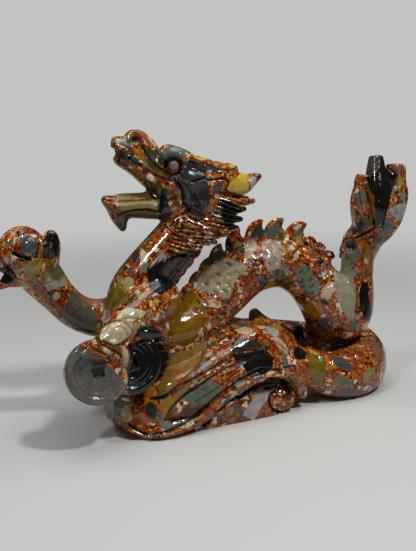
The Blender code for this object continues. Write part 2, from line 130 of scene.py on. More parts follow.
# Strokes of the chisel, as pixels of the camera's frame: width and depth in millimetres, a route.
# A negative depth is a raised line. Those of the head are cut on its far side too.
HEAD_STROKES = (
    (3.4, 3.2, ((129, 158), (140, 165), (150, 172), (161, 178), (172, 182), (180, 188), (184, 198),
                (182, 208))),
    (3.0, 2.4, ((143, 146), (148, 156), (155, 164), (163, 171), (170, 177))),
    (2.3, 2.0, ((168, 201), (173, 199), (178, 196))),
    (4.0, 3.2, ((166, 167), (168, 161), (173, 159), (179, 161), (181, 167), (178, 172), (172, 174),
                (167, 171), (166, 167))),
    (2.8, -2.4, ((176, 178), (184, 181), (190, 185), (192, 193), (195, 201), (204, 207))),
    (3.0, 2.8, ((192, 182), (198, 180), (206, 177))),
    (3.0, 3.0, ((175, 179), (181, 189), (184, 201), (190, 211), (201, 218))),
    (2.8, 2.4, ((208, 179), (209, 191), (208, 203), (204, 215))),
    (2.8, 2.0, ((181, 163), (178, 171), (182, 177))),
    (2.8, 2.8, ((207, 180), (215, 179), (224, 178), (229, 183), (226, 190))),
    (2.5, 3.2, ((225, 190), (232, 195), (241, 198))),
    (2.3, 1.8, ((249, 178), (250, 185), (250, 192))),
    (2.3, 1.8, ((257, 178), (258, 184), (257, 189))),
    (2.5, 2.0, ((206, 163), (216, 168), (226, 170), (237, 169))),
    (2.8, 2.6, ((118, 215), (126, 212), (138, 210), (150, 210), (159, 213))),
    (2.3, 1.4, ((104, 200), (118, 202), (135, 201), (151, 200))),
    (3.7, 3.6, ((116, 149), (117, 157), (119, 164))),
    (2.3, 1.4, ((120, 144), (130, 149), (138, 156))),
    (3.4, 2.8, ((160, 186), (163, 198), (160, 212))),
    (4.2, -1.6, ((140, 163), (151, 173), (162, 180), (172, 183), (179, 189), (182, 198), (180, 208))),
    (5.5, -1.8, ((164, 157), (171, 153), (179, 154), (185, 160), (185, 167))),
    (3.6, -1.4, ((128, 141), (129, 135), (134, 132), (140, 134), (142, 139))),
    (3.4, -1.3, ((148, 159), (155, 167), (163, 173), (169, 175))),
    (3.6, -1.4, ((119, 206), (132, 205), (147, 204), (156, 206))),
    (3.0, -1.2, ((186, 207), (193, 213), (202, 217), (206, 208), (208, 195), (209, 184))),
)
MANE_GROOVE = (2.1, 2.4)                             # width and depth
# Each sheaf of the mane runs from its first line to its last, with that many lines in all.
MANE_SHEAVES = (
    (9, ((222, 196), (234, 201), (247, 206)), ((206, 229), (220, 232), (234, 232))),
    (6, ((178, 228), (191, 229), (206, 231), (222, 234)), ((170, 246), (185, 251), (200, 251), (210, 247))),
    (3, ((232, 193), (244, 197), (257, 199)), ((230, 198), (242, 203), (254, 207))),
    (5, ((188, 216), (198, 220), (208, 222)), ((166, 226), (174, 234), (184, 240))),
)
LONGEST_STEP = 12                                    # millimetres; a route breaks off at a longer one
BODY_STROKES = (
    (2.8, -1.4, ((315, 262), (318, 257), (324, 257), (327, 263), (324, 269), (318, 269), (315, 262))),
    (3.4, 3.4, ((168, 251), (180, 255), (195, 255), (206, 250))),
    (3.0, 1.5, ((104, 330), (110, 323), (119, 321), (127, 324), (133, 332))),
    (2.6, 1.2, ((119, 326), (126, 330), (129, 337))),
    (3.4, 2.4, ((104, 341), (111, 345), (120, 345), (130, 338))),
    (2.8, 1.6, ((117, 321), (128, 318), (139, 319))),
    (2.8, 2.3, ((96, 338), (104, 345), (114, 351), (121, 356))),
    (2.8, 1.9, ((86, 343), (95, 349), (106, 355))),
    (2.8, 2.3, ((137, 342), (147, 341), (158, 341))),
    (2.3, 1.5, ((139, 331), (149, 329), (160, 331))),
    (2.3, -1.5, ((97, 304), (99, 315), (99, 328))),
    (2.8, 2.3, ((76, 329), (88, 331), (99, 334))),
    (2.3, 1.7, ((46, 236), (45, 247), (45, 258))),
    (2.3, 1.7, ((51, 235), (51, 247), (51, 259))),
    (2.3, 1.5, ((55, 236), (55, 247), (55, 257))),
    (4.1, 4.9, ((14, 254), (21, 258), (31, 259))),
    (2.8, 2.3, ((18, 232), (17, 243), (14, 253))),
    (2.8, 2.3, ((38, 238), (39, 249), (36, 257))),
    (2.8, 2.3, ((1, 263), (9, 268), (16, 278))),
    (3.0, 2.3, ((296, 318), (305, 330), (319, 340), (334, 346))),
    (2.8, 1.9, ((301, 311), (312, 325), (327, 335))),
    (3.4, 3.0, ((352, 239), (362, 235), (373, 229))),
    (3.0, 2.7, ((368, 174), (366, 186), (370, 206), (374, 229))),
    (3.0, 2.7, ((387, 167), (396, 176), (393, 190), (388, 208), (382, 229))),
    (2.3, 1.7, ((358, 178), (359, 195), (364, 213))),
    (2.3, 1.7, ((377, 160), (379, 178), (379, 200))),
    (2.3, 1.7, ((397, 175), (399, 195), (396, 215))),
    (2.3, 1.5, ((363, 280), (362, 300), (364, 318))),
)
# The first few of the water's lines are cut on its rear too.
REAR_WAVES = 6
REAR_WAVE_WIDTH = 4                                  # millimetres
WAVE_STROKES = (
    (3.4, 3.0, ((150, 398), (165, 397), (180, 386), (205, 372), (235, 355))),
    (3.0, 2.4, ((168, 420), (172, 410), (185, 395), (213, 377), (245, 360))),
    (3.0, 2.4, ((172, 419), (190, 418), (205, 410), (235, 388), (255, 375), (291, 366))),
    (2.6, 1.8, ((168, 393), (181, 382), (196, 366), (209, 349))),
    (2.6, 1.5, ((190, 374), (203, 361), (219, 349), (232, 343))),
    (2.6, 1.5, ((196, 402), (212, 392), (228, 380), (240, 371))),
    (2.6, 1.8, ((133, 424), (145, 433), (165, 433), (190, 424))),
    (2.6, 1.8, ((236, 350), (251, 350), (266, 352), (274, 360))),
    (2.4, 1.5, ((276, 342), (288, 352), (294, 366), (303, 376))),
    (2.4, 1.5, ((278, 372), (290, 378), (297, 390))),
    (3.6, 3.4, ((275, 390), (270, 396), (270, 404), (275, 411), (283, 413))),
    (7.0, 6.0, ((266, 387), (276, 385), (286, 388), (291, 396))),
    (5.5, -2.2, ((150, 436), (165, 435), (185, 428), (203, 417), (222, 400), (240, 387), (258, 377),
                 (275, 374), (290, 378), (298, 388), (300, 400))),
    (3.2, 3.0, ((128, 424), (138, 432), (150, 435), (166, 432), (184, 423), (200, 412), (218, 396),
                (236, 383), (254, 373), (268, 369), (284, 370))),
    (5.5, 5.0, ((205, 425), (228, 405), (245, 392), (260, 384), (275, 381), (287, 385), (294, 395),
                (297, 405))),
    (3.2, 2.6, ((166, 421), (170, 411), (182, 397), (200, 386), (214, 376), (232, 366))),
    (2.8, 2.2, ((207, 339), (203, 352), (196, 366), (184, 380), (170, 393), (156, 399))),
    (2.8, 2.0, ((230, 354), (214, 366), (203, 374), (192, 384))),
    (2.6, 2.0, ((172, 420), (188, 420), (203, 410), (222, 394), (240, 378))),
)
# The nostril that the camera sees, and the far one's radius and depth in millimetres
NOSTRIL_PIXEL = (134, 138)
FAR_NOSTRIL = (4.6, 4)
# The notch across the front of the upper lip, in the head's own plane: route, width and depth
LIP_NOTCH = ([(61.5, side, 235.5) for side in (-11, -6, 0, 6, 11)], 10, 4)
# Round hollows: a pixel, radius and depth in millimetres
HOLLOWS = (
    (NOSTRIL_PIXEL, 4.8, 5.5), ((118, 155), 6.0, 4.0), ((350, 246), 7.0, 4.0), ((321, 263), 4.0, 5.0),
    ((22, 257), 6.0, 3.0), ((360, 222), 5.0, 2.4), ((194, 170), 10.0, 2.6), ((200, 193), 9.0, 2.4),
    ((176, 198), 3.6, 2.4), ((332, 350), 4.2, 1.3), ((343, 354), 4.6, 1.5), ((355, 358), 4.4, 1.4),
    ((366, 364), 4.2, 1.3), ((329, 362), 4.4, 1.4), ((340, 368), 4.2, 1.3), ((352, 374), 4.6, 1.5),
    ((364, 378), 4.2, 1.3), ((332, 378), 4.2, 1.3), ((344, 384), 4.4, 1.3), ((318, 358), 4.4, 1.4),
    ((376, 370), 4.2, 1.3), ((372, 350), 4.4, 1.3), ((300, 340), 4.0, 1.3), ((283, 336), 4.4, 1.3),
    ((262, 332), 4.6, 1.4), ((250, 326), 4.0, 1.3), ((272, 344), 4.0, 1.2), ((232, 330), 4.6, 1.4),
    ((220, 330), 4.0, 1.3), ((212, 322), 4.0, 1.2), ((115, 420), 4.0, 1.2), ((130, 410), 4.4, 1.2),
)

# Patches of one colour in the stone, as corners in pixels of the camera's frame
PATCHES = (
    ("terracotta", ((131, 131), (138, 128), (144, 130), (148, 137), (151, 146), (146, 142), (143, 137),
                    (137, 135))),
    ("grey", ((111, 141), (122, 139), (130, 136), (128, 142), (133, 146), (126, 147), (117, 144))),
    ("moss", ((119, 150), (127, 152), (135, 157), (145, 165), (141, 167), (133, 165), (125, 163),
              (120, 158))),
    ("amber", ((132, 148), (139, 149), (143, 155), (147, 165), (141, 161), (135, 156))),
    ("olive", ((143, 148), (147, 150), (155, 161), (165, 168), (168, 176), (160, 174), (150, 167),
               (144, 158))),
    ("moss", ((146, 144), (151, 150), (158, 151), (166, 156), (168, 166), (160, 166), (152, 158))),
    ("grey_green", ((162, 151), (168, 144), (176, 143), (184, 148), (189, 153), (182, 160), (172, 161),
                    (164, 158))),
    ("amber", ((180, 158), (186, 157), (188, 163), (183, 168), (179, 170))),
    ("yellow", ((191, 153), (199, 155), (208, 159), (203, 161), (196, 159))),
    ("charcoal", ((180, 168), (186, 161), (194, 160), (204, 164), (207, 168), (205, 176), (199, 181),
                  (193, 184), (186, 181), (180, 177), (177, 172))),
    ("charcoal", ((176, 176), (184, 180), (193, 183), (200, 180), (207, 178), (209, 186), (208, 199),
                  (205, 208), (203, 218), (196, 216), (188, 210), (182, 203), (180, 190))),
    ("yellow", ((229, 183), (237, 178), (241, 171), (247, 174), (250, 178), (249, 196), (242, 199),
                (231, 195), (225, 190))),
    ("yellow", ((227, 165), (233, 161), (238, 165), (232, 168))),
    ("pale_grey", ((250, 177), (257, 177), (257, 190), (250, 191))),
    ("black", ((221, 198), (228, 200), (236, 204), (243, 210), (245, 221), (238, 228), (230, 230),
               (224, 224), (221, 212))),
    ("khaki", ((117, 193), (130, 190), (142, 192), (152, 197), (150, 201), (135, 201), (118, 202))),
    ("pale_khaki", ((118, 202), (135, 201), (150, 200), (158, 202), (157, 210), (148, 208), (135, 209),
                    (125, 212), (119, 210))),
    ("umber", ((114, 216), (125, 213), (140, 211), (155, 212), (154, 220), (146, 220), (136, 220),
               (130, 227), (124, 234), (118, 228))),
    ("dark_green", ((157, 212), (158, 200), (162, 188), (167, 190), (168, 203), (172, 212), (170, 219),
                    (163, 223), (158, 220))),
    ("dark_olive", ((143, 178), (152, 182), (159, 188), (158, 200), (151, 199), (147, 190))),
    ("cream_grey", ((207, 268), (216, 263), (228, 258), (240, 261), (248, 268), (246, 274), (240, 274),
                    (236, 280), (233, 290), (231, 297), (224, 299), (216, 293), (206, 294), (197, 288),
                    (198, 278))),
    ("moss", ((205, 262), (208, 255), (218, 250), (224, 244), (228, 252), (229, 256), (222, 260),
              (212, 265), (206, 268))),
    ("pink_cream", ((247, 241), (252, 237), (256, 240), (257, 246), (254, 253), (249, 260), (245, 262),
                    (244, 254))),
    ("pink_grey", ((262, 242), (270, 240), (281, 241), (282, 255), (280, 266), (274, 271), (268, 272),
                   (264, 262), (262, 252))),
    ("olive", ((272, 273), (281, 270), (288, 276), (293, 284), (290, 288), (282, 286), (275, 282))),
    ("charcoal", ((258, 278), (263, 276), (268, 278), (268, 284), (262, 287), (258, 283))),
    ("grey_green", ((300, 265), (306, 265), (312, 270), (313, 280), (306, 284), (299, 288), (296, 280),
                    (297, 272))),
    ("grey", ((307, 284), (318, 280), (321, 287), (318, 296), (309, 297), (302, 290))),
    ("pink_cream", ((327, 283), (333, 282), (335, 288), (330, 299), (322, 299), (320, 295))),
    ("amber", ((301, 304), (312, 306), (323, 305), (322, 314), (312, 320), (305, 316), (301, 310))),
    ("black", ((320, 300), (328, 300), (330, 306), (322, 305))),
    ("slate", ((318, 322), (326, 316), (333, 318), (333, 328), (325, 331), (318, 326))),
    ("slab_grey", ((335, 262), (342, 257), (350, 264), (354, 280), (356, 300), (354, 320), (348, 318),
                   (342, 310), (337, 298), (334, 280))),
    ("moss", ((248, 237), (257, 226), (264, 221), (268, 222), (264, 236), (256, 240))),
    ("grey_green", ((264, 236), (270, 226), (279, 220), (284, 226), (278, 236), (270, 239))),
    ("black", ((279, 222), (290, 218), (289, 224), (282, 226))),
    ("black", ((221, 250), (222, 243), (227, 238), (232, 243), (234, 250), (228, 254))),
    ("ochre", ((171, 299), (180, 297), (192, 290), (200, 300), (205, 308), (203, 325), (195, 340),
               (186, 347), (178, 346), (170, 336), (168, 318), (170, 305))),
    ("black", ((147, 262), (158, 263), (172, 256), (190, 251), (207, 248), (206, 256), (196, 262),
               (188, 270), (178, 284), (168, 290), (160, 296), (150, 290), (147, 276))),
    ("coin_grey", ((60, 368), (64, 354), (76, 343), (84, 351), (95, 355), (112, 368), (128, 386),
                   (124, 394), (112, 402), (100, 407), (90, 407), (74, 400), (64, 388))),
    ("black", ((127, 345), (135, 341), (147, 343), (158, 341), (164, 346), (169, 355), (168, 368),
               (160, 379), (147, 388), (137, 394), (128, 394), (127, 370))),
    ("black", ((136, 331), (140, 325), (148, 326), (160, 329), (163, 337), (160, 341), (148, 341),
               (137, 337))),
    ("cream", ((100, 340), (101, 330), (107, 325), (115, 321), (125, 320), (133, 322), (132, 332),
               (127, 338), (122, 343), (114, 345), (108, 342))),
    ("cream", ((116, 320), (118, 311), (128, 308), (140, 309), (146, 312), (142, 318), (132, 321),
               (124, 320))),
    ("cream_grey", ((102, 346), (108, 349), (117, 356), (112, 356), (104, 352))),
    ("cream", ((121, 346), (127, 348), (129, 356), (126, 367), (122, 366), (121, 356))),
    ("tan", ((176, 352), (190, 350), (205, 338), (209, 340), (203, 352), (198, 366), (190, 378),
             (180, 386), (168, 393), (158, 395), (160, 385), (165, 372), (170, 362))),
    ("terracotta", ((173, 371), (179, 369), (184, 374), (182, 381), (176, 382))),
    ("tan", ((160, 399), (172, 396), (185, 386), (193, 383), (185, 395), (178, 402), (172, 412),
             (166, 421), (160, 413))),
    ("dark_green", ((231, 352), (231, 344), (237, 337), (246, 338), (258, 341), (266, 348), (258, 351),
                    (244, 353))),
    ("black", ((232, 354), (244, 353), (258, 350), (267, 350), (273, 358), (273, 367), (266, 374),
               (256, 376), (248, 376), (243, 366), (236, 361))),
    ("grey_green", ((183, 398), (190, 390), (200, 383), (208, 377), (218, 384), (222, 390), (212, 400),
                    (203, 408), (195, 406), (188, 403))),
    ("dark_red", ((180, 412), (188, 405), (198, 406), (204, 411), (198, 416), (188, 421), (180, 420))),
    ("plank_grey", ((260, 385), (267, 383), (275, 386), (273, 393), (263, 405), (256, 416), (247, 420),
                    (241, 416), (249, 404), (257, 394))),
    ("grey", ((104, 406), (115, 399), (126, 389), (128, 400), (122, 410), (115, 418), (108, 413))),
    ("slate", ((20, 237), (27, 234), (36, 238), (38, 254), (31, 254), (22, 252))),
    ("black", ((43, 240), (49, 230), (57, 234), (60, 242), (58, 256), (52, 260), (43, 258))),
    # Black over the deep crease between finger and palm: partly a black fragment, partly painted shade in
    # the crease
    ("black", ((14, 253), (22, 254), (32, 258), (29, 262), (20, 261))),
    ("olive_yellow", ((36, 255), (40, 258), (40, 266), (34, 264))),
    ("khaki", ((29, 262), (34, 262), (37, 268), (36, 279), (32, 280), (26, 274), (25, 267))),
    ("khaki", ((41, 272), (47, 271), (49, 278), (43, 280), (40, 276))),
    ("moss_green", ((47, 266), (56, 261), (61, 266), (64, 275), (60, 282), (50, 281), (49, 272))),
    ("pale_grey", ((46, 284), (56, 282), (66, 277), (67, 284), (57, 288), (47, 292), (45, 287))),
    ("bone", ((52, 296), (57, 292), (61, 295), (58, 300), (53, 299))),
    ("taupe", ((71, 291), (76, 292), (84, 300), (92, 304), (97, 315), (98, 330), (92, 334), (80, 332),
               (70, 326), (62, 314), (68, 303))),
    ("pink_brown", ((78, 293), (92, 298), (104, 299), (100, 304), (88, 303))),
    ("khaki", ((21, 281), (26, 281), (29, 288), (25, 290), (20, 287))),
    ("black", ((-4, 268), (7, 267), (17, 274), (14, 282), (8, 285), (-4, 280))),
    ("pink_grey", ((3, 256), (8, 257), (11, 264), (6, 264))),
    ("lilac", ((15, 270), (22, 267), (24, 270), (17, 275))),
    ("grey_green", ((5, 240), (12, 240), (11, 247), (5, 246))),
    ("charcoal", ((129, 253), (138, 251), (138, 267), (133, 262))),
    ("bone", ((139, 255), (148, 251), (149, 256), (143, 260))),
    ("bone", ((148, 258), (158, 260), (156, 262), (150, 261))),
    ("lilac", ((159, 250), (164, 252), (167, 258), (158, 260))),
    ("khaki", ((116, 276), (123, 276), (124, 285), (119, 286))),
    ("pale_khaki", ((123, 279), (129, 276), (134, 279), (134, 287), (128, 291), (123, 288))),
    ("olive_yellow", ((102, 308), (105, 298), (111, 289), (117, 287), (124, 291), (129, 296), (124, 303),
                      (114, 307), (106, 309))),
    ("moss", ((125, 303), (131, 296), (136, 294), (134, 300), (129, 305))),
    ("bone", ((134, 290), (138, 288), (143, 294), (138, 294))),
    ("pale_grey", ((101, 319), (105, 312), (110, 309), (111, 313), (106, 322), (102, 323))),
    ("slate", ((366, 175), (368, 160), (373, 153), (381, 154), (379, 168), (374, 175))),
    ("black", ((381, 154), (386, 163), (392, 167), (397, 175), (394, 184), (391, 195), (388, 208),
               (384, 224), (379, 229), (374, 226), (374, 208), (370, 190), (366, 177), (374, 175),
               (379, 168))),
    ("pink_brown", ((391, 166), (400, 162), (403, 172), (396, 174), (390, 172))),
    ("khaki", ((397, 175), (402, 176), (404, 184), (398, 190), (393, 192), (395, 182))),
    ("grey", ((400, 192), (406, 194), (406, 201), (400, 200))),
    ("pale_grey", ((388, 210), (398, 204), (406, 203), (406, 212), (400, 222), (392, 215))),
    ("slate", ((380, 226), (389, 219), (393, 228), (387, 236), (380, 232))),
    ("charcoal", ((376, 240), (382, 234), (388, 240), (381, 247))),
    ("grey_green", ((357, 192), (366, 190), (367, 200), (362, 206), (356, 203))),
    ("ochre", ((369, 190), (373, 196), (374, 216), (371, 223))),
    ("charcoal", ((352, 229), (360, 221), (368, 226), (364, 232), (355, 235))),
    ("grey_green", ((344, 240), (352, 239), (358, 244), (360, 256), (355, 262), (345, 259))),
    ("black", ((346, 243), (351, 241), (356, 247), (350, 250))),
    ("grey", ((354, 267), (359, 265), (361, 270), (356, 273))),
    ("slate", ((365, 268), (370, 269), (369, 277), (364, 275))),
    ("black", ((361, 283), (368, 282), (369, 296), (371, 310), (370, 321), (364, 318), (360, 306),
               (359, 294))),
    ("blue_grey", ((350, 320), (355, 321), (357, 328), (352, 331), (349, 326))),
    ("pink_cream", ((362, 324), (369, 322), (370, 330), (363, 330))),
    ("olive_yellow", ((308, 352), (320, 356), (327, 362), (323, 380), (318, 385), (309, 374))),
    ("straw", ((308, 349), (314, 350), (321, 354), (317, 356), (310, 353))),
    ("slate", ((332, 358), (340, 357), (350, 361), (352, 368), (343, 370), (334, 364))),
    ("grey_green", ((335, 374), (345, 377), (353, 382), (350, 389), (340, 387), (335, 380))),
    ("amber", ((352, 370), (358, 374), (358, 382), (352, 379))),
    ("khaki", ((363, 372), (372, 366), (375, 370), (368, 380), (363, 382))),
    ("pink_brown", ((368, 337), (375, 340), (383, 351), (386, 363), (379, 362), (372, 352), (368, 344))),
    ("mauve", ((330, 390), (342, 391), (352, 390), (362, 389), (360, 395), (348, 400), (336, 400))),
    ("black", ((293, 326), (302, 325), (304, 336), (308, 348), (299, 347), (294, 338))),
    ("black", ((294, 349), (299, 346), (306, 352), (305, 359), (298, 360), (293, 355))),
)

# Smaller fragments: colour, pixel of the middle, half length, half width (pixels), turn (degrees)
FRAGMENTS = (
    ("amber", 111, 204, 2.5, 3.5, 0), ("slate", 144, 190, 6, 7, 0), ("slate", 130, 148, 3, 3, 0),
    ("slate", 219, 187, 4, 7, 20), ("grey", 216, 211, 4, 5, 20), ("slate", 197, 221, 3.5, 2.5, 0),
    ("bone", 186, 160, 3, 4, 0), ("slate", 212, 168, 8, 2.5, 25), ("grey", 174, 166, 6, 5, 0),
    ("bone", 116, 284, 3, 1.5, 40), ("pink_cream", 97, 355, 5, 2, 15), ("grey", 284, 266, 4, 4, 0),
    ("grey_green", 297, 232, 4, 6, 20), ("bone", 299, 226, 5, 1.5, -15),
    ("dark_red", 242, 236, 3, 8, -10), ("black", 321, 262, 4, 4, 0), ("amber", 285, 251, 3, 7, 0),
    ("pink_cream", 215, 304, 8, 3.5, 22), ("olive_yellow", 231, 311, 4, 5, 0),
    ("olive_yellow", 222, 319, 3.5, 3, 0), ("pale_grey", 272, 329, 7, 11, -5),
    ("cream", 245, 330, 8, 5, 0), ("amber", 262, 321, 3, 6, 0), ("olive_yellow", 255, 314, 5, 5, 0),
    ("pink_cream", 282, 346, 11, 4, 50), ("dark_green", 151, 410, 6, 8, -20),
    ("pink_cream", 126, 414, 6, 8, -20), ("grey", 165, 424, 5, 7, -30),
    ("grey_green", 178, 424, 7, 4, -20), ("pale_grey", 245, 393, 6, 5, 0),
    ("grey_green", 285, 361, 3, 10, -10), ("slate", 213, 345, 4, 4, 0), ("grey", 206, 366, 4, 6, 0),
    ("pale_grey", 240, 383, 6, 3, -30), ("slate", 227, 402, 5, 3, -35),
    ("olive_yellow", 368, 254, 5, 5, 0), ("black", 265, 262, 3, 4, 20), ("cream", 240, 290, 4, 3, 0),
    ("bone", 292, 247, 3, 4, 30), ("black", 306, 244, 3, 3, 0), ("slate", 313, 252, 4, 3, 20),
    ("cream", 326, 272, 3, 3, 0), ("pink_cream", 296, 256, 3, 4, 10), ("black", 337, 330, 4, 3, 0),
    ("bone", 345, 338, 3, 2.5, 0), ("slate", 118, 306, 3, 3, 0), ("charcoal", 150, 236, 3, 3, 0),
    ("bone", 110, 328, 2.5, 2.5, 0), ("khaki", 387, 253, 3, 4, -30), ("cream", 366, 262, 3, 3, 0),
    ("black", 296, 300, 3, 4, 0), ("bone", 325, 348, 3, 2, 10), ("black", 347, 352, 3, 3, 0),
    ("amber", 332, 386, 3, 2.5, 0), ("cream", 357, 392, 3, 2, 0), ("black", 372, 377, 2.5, 2.5, 0),
    ("pink_cream", 336, 398, 4, 2, 0), ("slate", 322, 390, 3, 3, 0), ("bone", 289, 326, 3, 2, 30),
    ("black", 236, 322, 3, 2.5, 0),
)
# On the sides that the camera doesn't see, fragments lie as they fall, of these colours.
FAR_FRAGMENTS = 190
FAR_COLOURS = ("black", "charcoal", "slate", "grey", "grey_green", "cream", "cream_grey", "pink_cream",
               "khaki", "olive", "olive_yellow", "ochre", "amber", "tan", "bone", "dark_green", "taupe",
               "coin_grey")
FAR_SMALLEST, FAR_LARGEST = 3, 12                    # millimetres, half length
TURNED_AWAY = -0.45                                  # cosine to the camera, at most, where one starts
TURNED_TO = 0.2                                      # cosine from which the camera would see one
SEAM = 0.45                                          # millimetres of red ground between fragments
PATCH_SEAM = 1.0                                     # millimetres of it round a patch
PATCH_MARGIN = 6                                     # pixels round a patch that its seam can reach
PATCH_FRONT, PATCH_BACK = 15, 12                     # millimetres that it reaches nearer and farther
NO_FRAGMENT = -9.0                                   # millimetres inside, where none is near

PALETTE = {
    "black": "#12120f", "charcoal": "#3a3d3d", "slate": "#4d5052", "grey": "#7c7d78",
    "pale_grey": "#b3b0a8", "grey_green": "#6a6f5c", "dark_green": "#2f332a", "blue_grey": "#4e565b",
    "coin_grey": "#6d6964", "taupe": "#5f584a", "cream": "#cfbf98", "cream_grey": "#b0a283",
    "bone": "#ddd0b8", "pink_cream": "#d2b295", "lilac": "#a59a9c", "khaki": "#9c8a50",
    "pale_khaki": "#b8a76a", "yellow": "#e0bd48", "olive": "#554b18", "olive_yellow": "#7d6a10",
    "dark_olive": "#373113", "ochre": "#8e6009", "amber": "#b8730f", "tan": "#94702f",
    "pink_brown": "#8d5f4c", "dark_red": "#4d160c", "terracotta": "#a9602f", "moss": "#3f4234",
    "umber": "#5a4c2b", "pink_grey": "#b5a08c", "slab_grey": "#9c9780", "moss_green": "#62653a",
    "straw": "#bd9440", "mauve": "#6d5a58", "plank_grey": "#b7b1b0", "dull_ochre": "#7d5d14",
    "smoke": "#484741",
}
# The ground: grains, and cells of three sizes over them. A ground_ colour is a setting of the stone.
GRAIN = 1.5                                          # millimetres
GRAIN_STOPS = ((0, "ground_dark"), (0.22, "ground_red"), (0.70, "ground_orange"), (0.91, "ground_straw"),
               (0.975, "ground_pale"))
# Size in millimetres, share of the cells that shows, border, and the colours with where each begins
GROUND_CELLS = (
    (3.1, 0.40, 0.05, ((0, "ground_red"), (0.22, "ground_orange"), (0.42, "ground_straw"),
                       (0.53, "ground_pale"), (0.66, "dull_ochre"), (0.76, "ground_dark"),
                       (0.91, "smoke"))),
    (5.2, 0.17, 0.04, ((0, "bone"), (0.2, "tan"), (0.34, "grey"), (0.48, "olive_yellow"),
                       (0.6, "pink_cream"), (0.74, "dark_olive"), (0.86, "slate"))),
    (8.2, 0.08, 0.03, ((0, "cream_grey"), (0.2, "amber"), (0.34, "grey_green"), (0.5, "olive"),
                       (0.64, "pink_cream"), (0.78, "charcoal"), (0.9, "khaki"))),
)

# Area lights: name, diameter and place in metres, all turned to the middle of the carving
LIGHTS = (("key", 0.14, (0.30, -0.55, 1.15)), ("spark", 0.10, (-0.70, -0.35, 1.0)),
          ("soft", 1.2, (0.0, 0.1, 1.6)))
LIT_HEIGHT = 0.1                                     # metres, of the point that they face
FLOOR_RADIUS = 1.6                                   # metres
FLOOR_FADE = (0.30, 1.1)                             # metres from the middle where the floor fades out


def linear(text):
    """A colour of sRGB hex digits as linear numbers."""
    shares = [int(text[place:place + 2], 16) / 255 for place in (1, 3, 5)]
    return [share / 12.92 if share <= 0.04045 else ((share + 0.055) / 1.055) ** 2.4 for share in shares]


def colour(name, description, text):
    """A colour property with its default from hex digits."""
    return FloatVectorProperty(name=name, description=description, subtype="COLOR", size=3, min=0, max=1,
                               default=linear(text))


def length(name, description, metres):
    """A length property."""
    return FloatProperty(name=name, description=description, default=metres, min=0, unit="LENGTH",
                         precision=4)


def power(name, description, watts):
    """A light's power as a property."""
    return FloatProperty(name=name, description=description, default=watts, min=0, unit="POWER")


class DragonSizes(PropertyGroup):
    """Sizes of the carving that a user can change."""
    coin_diameter: length("Coin diameter", "Across the rim of each coin", 0.053)
    coin_thickness: length("Coin thickness", "Thickness of each coin", 0.011)
    coin_rim: length("Coin rim", "Width of the bevelled rim", 0.0055)
    coin_relief: length("Coin relief", "Height of rim and ridges", 0.0015)
    coin_hole: length("Coin hole", "Side of the square hole", 0.0095)
    eye_diameter: length("Eye diameter", "Diameter of each eye ball", 0.0088)
    fin_height: length("Fin height", "Height of the tall fins on the arch", 0.0185)
    fin_spacing: length("Fin spacing", "Distance from fin to fin on the arch", 0.0142)
    fin_thickness: length("Fin thickness", "Thickness of a fin at half its height", 0.0060)
    neck_fin_height: length("Neck fin height", "Height of the small fins on the neck", 0.0080)
    neck_fin_spacing: length("Neck fin spacing", "Distance between them", 0.0105)
    rear_fin_height: length("Rear fin height", "Height of the knobs towards the rear", 0.0085)
    rear_fin_spacing: length("Rear fin spacing", "Distance between them", 0.0108)
    lock_thickness: length("Lock thickness", "Thickness of a lock of the mane", 0.0062)
    scale_spacing: length("Scale spacing", "Distance between the gouged scales", 0.0135)
    scale_radius: length("Scale radius", "Radius of each gouged crescent", 0.0030)
    scale_depth: length("Scale depth", "Depth of each gouge", 0.0015)
    mass_grain: length("Grain of the mass", "Fineness of the roughed-out form", 0.0015)
    carving_grain: length("Grain of the carving", "Fineness of the finished skin", 0.0008)
    skin_triangles: IntProperty(name="Triangles", description="Triangles of the finished skin",
                                default=195000, min=20000)


class StoneColours(PropertyGroup):
    """Colours of the ground between the fragments."""
    dark: colour("Dark red", "Darkest grains of the ground", "#2e1107")
    red: colour("Rust red", "Most grains of the ground", "#853104")
    orange: colour("Orange", "Lighter grains of the ground", "#b86014")
    straw: colour("Straw", "Pale grains of the ground", "#c2832e")
    pale: colour("Pale", "Palest grains of the ground", "#dab677")
    seam: colour("Seam", "Thin veins across the fragments", "#5c2008")
    # Darkens the grooves by their depth: partly dust left in them, partly painted shade in the grooves
    dust_and_shade: colour("Dust", "What is left in the deepest grooves", "#120d0a")


class StageSettings(PropertyGroup):
    """Floor and lights."""
    floor: colour("Floor", "Colour of the floor", "#cfcfcd")
    surround: colour("Surround", "Colour of the space behind the carving", "#c3c4c1")
    glow: FloatProperty(name="Glow", description="Strength of the light from all round",
                        default=0.10, min=0)
    key_power: power("Key", "Power of the small key light", 7)
    spark_power: power("Spark", "Power of the small second light", 2.5)
    soft_power: power("Soft", "Power of the large soft light", 11)


def along(rows, steps):
    """Rows read from a smooth curve through the given ones, with steps to each stretch."""
    rows = np.array(rows, float)
    padded = np.vstack([2 * rows[0] - rows[1], rows, 2 * rows[-1] - rows[-2]])
    result = []
    for before, start, end, after in zip(padded, padded[1:], padded[2:], padded[3:]):
        for step in range(steps):
            share = step / steps
            first = (end - before) * share
            second = (2 * before - 5 * start + 4 * end - after) * share ** 2
            third = (3 * start - before - 3 * end + after) * share ** 3
            result.append(start + 0.5 * (first + second + third))
    result.append(rows[-1])
    return np.array(result)


